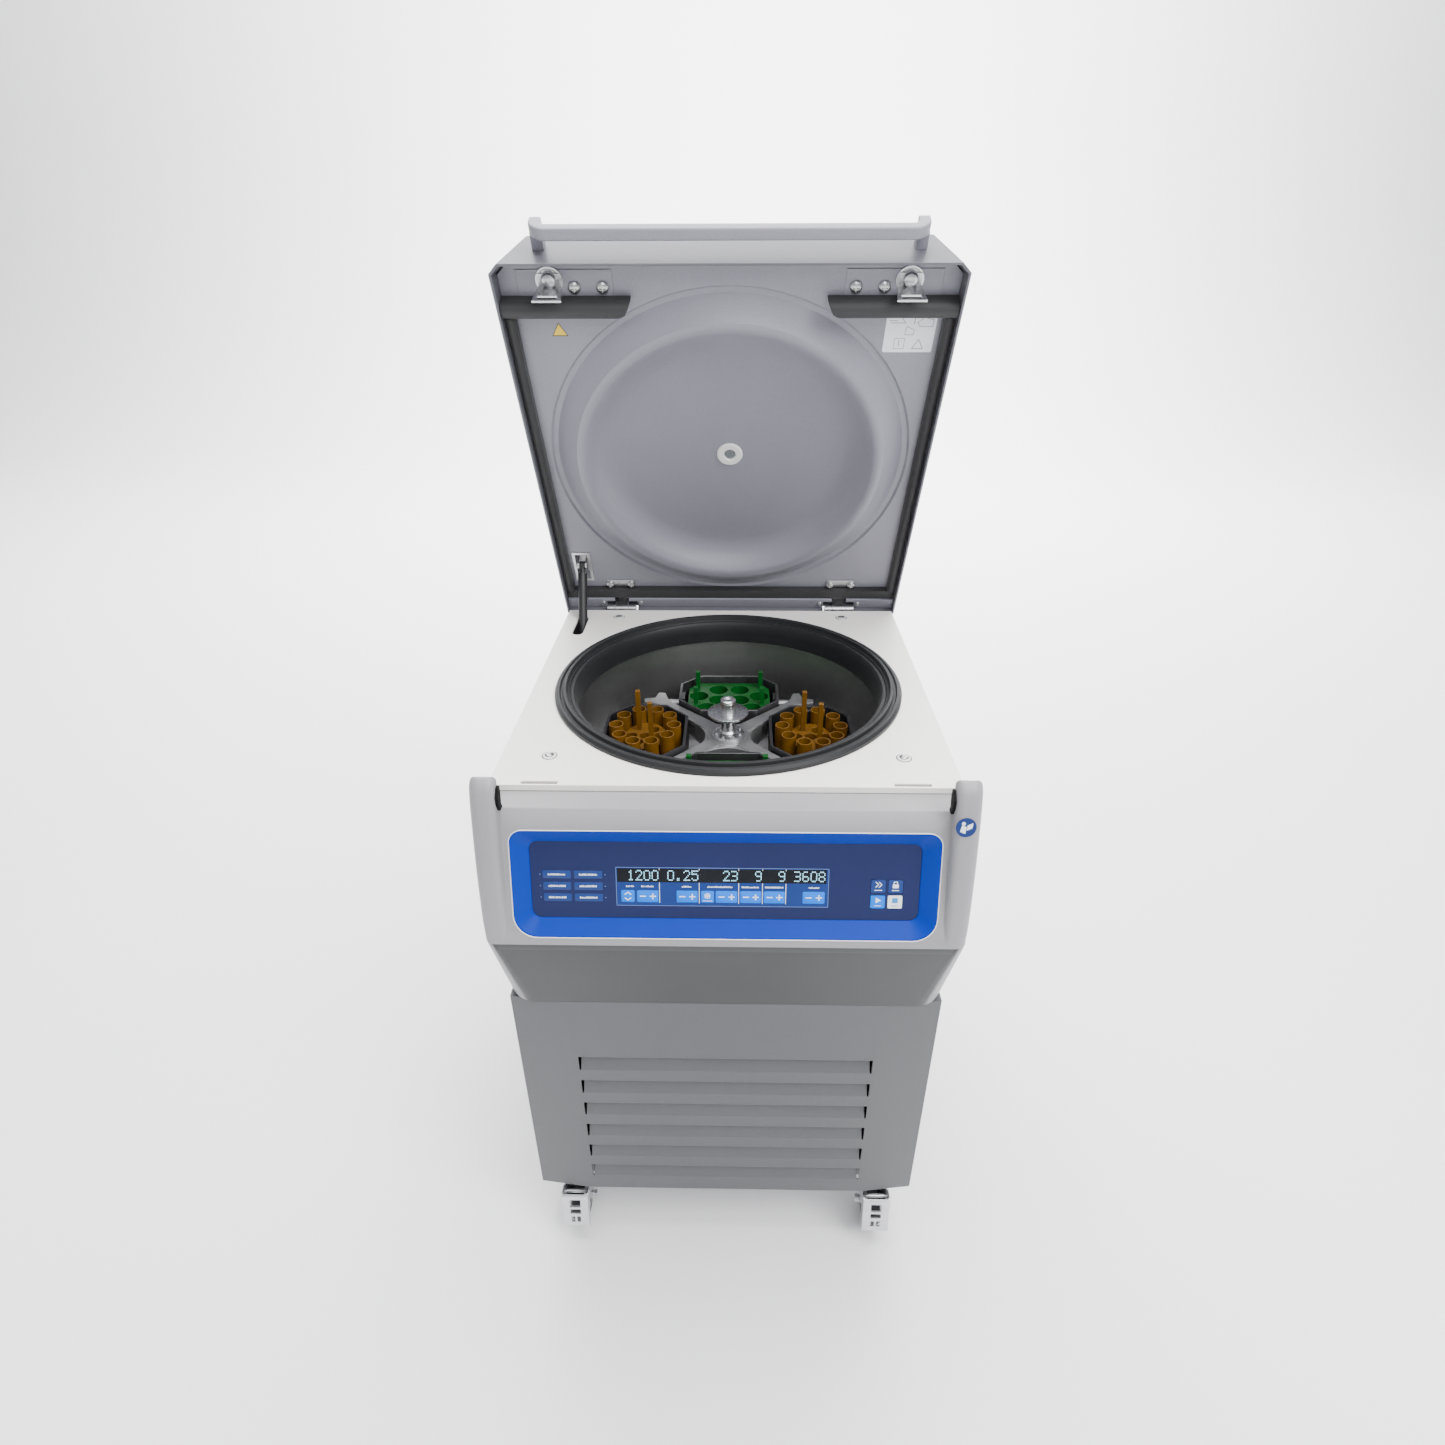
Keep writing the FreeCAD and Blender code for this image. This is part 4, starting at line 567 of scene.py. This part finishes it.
spot, normal = onto("front_console", (0.2685, -0.6, 0.7985), (0, 1, 0))
disc = axes(spot, normal, (1, 0, 0))
sticker("manual_disc", [disc_loop(0, 0, 11.5, 40)], disc, 0.0003, "disc_blue", "cabinet")
sticker("manual_mark", [disc_loop(-3.0, 4.6, 2.2, 20), [(-6.5, -5.0), (-0.5, -7.5), (0.5, 1.0), (-4.8, 2.4)],
    [(0.8, -3.5), (6.8, -0.8), (7.4, 5.4), (1.4, 2.8)]],
    disc, 0.00045, "print_white", "cabinet")

# ---------------------------------------------------------------- lid labels
SWING = Matrix.Translation(HINGE) @ Matrix.Rotation(-LID_OPEN, 4, "X") @ Matrix.Translation(-HINGE)


def lid_plane(x, y, z):
    """Matrix at a point of the shut lid's underside, facing down when shut, moved to the open lid."""
    return SWING @ axes((x, y, z), (0, 0, -1), (1, 0, 0))


PANEL_Z = HINGE.z + 0.0243  # the lid's inner panel when shut
mark = lid_plane(-0.219, -0.2045, PANEL_Z)
tri = [(-10.5, -8.0), (10.5, -8.0), (0, 10.0)]
small = [(x * 0.84, y * 0.84 - 0.1) for x, y in tri]
sticker("lid_triangle_edge", [tri], mark, 0.00005, "film_black", "lid")
sticker("lid_triangle", [small], mark, 0.00012, "film_yellow", "lid")
sheet = lid_plane(0.2320, -0.2005, PANEL_Z)
sticker("lid_notice", [rounded_rect(-32, 32, -27, 27, 2.5)], sheet, 0.00005, "print_white",
    "lid")
strokes = [thick_line((-28, 21), (-14, 21), 0.7), thick_line((-14, 21), (-7, 13), 0.7),
    thick_line((-7, 13), (-26, 13), 0.7), thick_line((-28, 16), (-18, 16), 0.6),
    thick_line((4, 22), (4, 12), 1.0), thick_line((8, 13), (16, 20), 0.7),
    thick_line((16, 20), (28, 17), 0.7), thick_line((28, 17), (28, 8), 0.7),
    thick_line((28, 8), (12, 8), 0.7), thick_line((12, 8), (8, 13), 0.7),
    thick_line((-5, 8), (5, 4), 0.7), thick_line((5, 4), (5, -3), 0.7),
    thick_line((5, -3), (-6, -3), 0.7),
    thick_line((-6, -3), (-5, 8), 0.7), thick_line((-18, -8), (-18, -22), 0.6),
    thick_line((-18, -22), (-5, -22), 0.6), thick_line((-5, -22), (-5, -8), 0.6),
    thick_line((-5, -8), (-18, -8), 0.6),
    thick_line((-12, -11), (-12, -18), 1.0), thick_line((6, -22), (20, -22), 0.9),
    thick_line((20, -22), (13, -9), 0.9), thick_line((13, -9), (6, -22), 0.9)]
sticker("lid_notice_lines", strokes, sheet, 0.00015, "paper_line", "lid")


# ---------------------------------------------------------------- deck screws
faces = bmesh.new()
rings = bmesh.new()
for x, y in ((-0.190, 0.252), (0.190, 0.252), (-0.220, -0.202), (0.220, -0.202)):
    place, _ = onto("deck_screws", (x + 0.0066, y, 1.0), (0, 0, -1))
    base = axes((x, y, HINGE.z), (0, 0, 1))
    lathe(faces, [(0, 0.0015), (0.0050, 0.0015), (0.0048, 0.0022), (0.0036, 0.0027), (0.0016, 0.0029),
        (0, 0.0021)], base, 32)
    # Dark collar under each head and thin dark ring round each cup: painted shadow.
    lathe(rings, [(0.0049, 0.0012), (0.0058, 0.0012), (0.0058, place.z - HINGE.z + 0.0003),
        (0.0049, place.z - HINGE.z + 0.0003), (0.0049, 0.0012)], base, 32)
    lathe(rings, [(0.0088, 0.00005), (0.0098, 0.00005), (0.0098, 0.00025), (0.0088, 0.00025),
        (0.0088, 0.00005)], base, 40)
publish("deck_screw_faces", faces, "stainless", "cabinet")
publish("deck_screw_painted_shadows", rings, "tyre_grey", "cabinet")


# ---------------------------------------------------------------- castor hardware
def fastener(name, place, out, across, height, mat, body, sides=6):
    """Washer and a chamfered hexagon head, or a plain dome where sides is large."""
    bm = bmesh.new()
    m = axes(place, out)
    lathe(bm, [(0, 0), (across * 0.72, 0), (across * 0.72, height * 0.2), (across * 0.68, height * 0.26),
        (0, height * 0.26)], m, 32)
    lathe(bm, [(0, height * 0.2), (across * 0.56, height * 0.2), (across * 0.56, height * 0.88),
        (across * 0.47, height), (0, height)], m, sides)
    return publish(name, bm, mat, body, 25)


for place in ("front_left", "front_right", "rear_left", "rear_right"):
    low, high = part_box("wheel_" + place)
    hub = (low + high) / 2
    for tag, out in (("a", -1), ("b", 1)):
        begin = Vector((hub.x + out * 0.06, hub.y, hub.z))
        try:
            face_point, _ = onto("fork_" + place, begin, (-out, 0, 0))
        except RuntimeError:
            continue
        fastener("axle_%s_%s" % (place, tag), face_point, (out, 0, 0), 0.0115, 0.0046, "zinc",
            "fork_" + place)
        bm = bmesh.new()
        face_x = high.x if out > 0 else low.x
        m = axes((face_x - out * 0.0002, hub.y, hub.z), (out, 0, 0))
        lathe(bm, [(0.0200, 0), (0.0200, 0.0006), (0.0192, 0.0010), (0.0150, 0.0010), (0.0142, 0.0005),
            (0.0142, 0)], m, 64)
        publish("hub_ring_%s_%s" % (place, tag), bm, "wheel_hub", "wheel_" + place)

# ---------------------------------------------------------------- rear panel hardware
for n, (x, z) in enumerate([(-0.268, 0.135), (0.268, 0.135), (-0.268, 0.46), (0.268, 0.46), (-0.268, 0.775),
        (0.268, 0.775), (0, 0.135), (0, 0.775)]):
    point, _ = onto("rear_panel", (x, 0.6, z), (0, -1, 0))
    fastener("rear_screw_%d" % n, point, (0, 1, 0), 0.0085, 0.0026, "zinc", "cabinet", 24)

# ---------------------------------------------------------------- stage, camera, light
def floor_material():
    m = bpy.data.materials.new("studio_floor")
    m.use_nodes = True
    t = m.node_tree
    shader = t.nodes["Principled BSDF"]
    noise = node(t, "ShaderNodeTexNoise", Scale=1.4, Detail=4.0)
    ramp = t.nodes.new("ShaderNodeValToRGB")
    ramp.color_ramp.elements[0].color = (0.90, 0.90, 0.905, 1)
    ramp.color_ramp.elements[1].color = (0.94, 0.94, 0.945, 1)
    coords = node(t, "ShaderNodeTexCoord")
    t.links.new(coords.outputs["Object"], noise.inputs["Vector"])
    t.links.new(noise.outputs["Fac"], ramp.inputs["Fac"])
    t.links.new(ramp.outputs["Color"], shader.inputs["Base Color"])
    shader.inputs["Roughness"].default_value = 0.7
    return m


def sweep_floor():
    """Floor that curves up into a backdrop, so that no horizon shows."""
    path = [(-40.0, 0.0), (4.5, 0.0)]
    for i in range(1, 17):
        a = math.radians(90 * i / 16)
        path.append((4.5 + 3.0 * math.sin(a), 3.0 - 3.0 * math.cos(a)))
    path.append((7.5, 9.0))
    bm = bmesh.new()
    rows = [[bm.verts.new((x, y, z)) for x in (-40.0, 40.0)] for y, z in path]
    for a, b in zip(rows, rows[1:]):
        bm.faces.new((a[0], a[1], b[1], b[0]))
    mesh = bpy.data.meshes.new("studio_floor")
    bm.to_mesh(mesh)
    bm.free()
    mesh.shade_smooth()
    mesh.materials.append(floor_material())
    obj = bpy.data.objects.new("studio_floor", mesh)
    obj.location = (0, 0, -0.0006)
    bpy.context.scene.collection.objects.link(obj)


sweep_floor()


def area(name, place, target, size, power, colour=(1, 1, 1)):
    lamp = bpy.data.lights.new(name, "AREA")
    lamp.shape = "RECTANGLE"
    lamp.size, lamp.size_y = size
    lamp.energy = power
    lamp.color = colour
    obj = bpy.data.objects.new(name, lamp)
    obj.matrix_world = axes(place, Vector(place) - Vector(target))
    bpy.context.scene.collection.objects.link(obj)


area("key_light", (1.9, -1.8, 3.3), (0, 0, 0.8), (2.0, 1.6), 150)
area("fill_light", (-2.2, -1.6, 2.4), (0, 0, 0.8), (2.2, 2.2), 6)
area("top_light", (0, 0.2, 4.2), (0, 0, 0.8), (3.0, 2.4), 250)
area("lid_light", (0.2, -2.6, 2.5), (0, 0.2, 1.15), (1.6, 0.8), 30)
area("back_light", (0.4, 3.6, 4.4), (0, 5.8, 1.0), (6.0, 2.0), 1500)

world = bpy.data.worlds.new("studio")
bpy.context.scene.world = world
world.use_nodes = True
world.node_tree.nodes["Background"].inputs["Color"].default_value = (0.93, 0.95, 1.0, 1)
world.node_tree.nodes["Background"].inputs["Strength"].default_value = 0.50

lens = bpy.data.cameras.new("camera")
lens.sensor_width = 36.0
lens.lens = 20.93
lens.clip_start = 0.02
eye = bpy.data.objects.new("camera", lens)
yaw, pitch, roll = math.radians(-1.13), math.radians(29.37), math.radians(-0.19)
ahead = Vector((math.sin(yaw) * math.cos(pitch), math.cos(yaw) * math.cos(pitch), -math.sin(pitch)))
side = Vector((math.cos(yaw), -math.sin(yaw), 0))
up = side.cross(ahead)
right = side * math.cos(roll) + up * math.sin(roll)
up = up * math.cos(roll) - side * math.sin(roll)
eye.matrix_world = Matrix(((right.x, up.x, -ahead.x, 0.0132), (right.y, up.y, -ahead.y, -1.0898),
    (right.z, up.z, -ahead.z, 1.35866), (0, 0, 0, 1)))
bpy.context.scene.collection.objects.link(eye)
bpy.context.scene.camera = eye
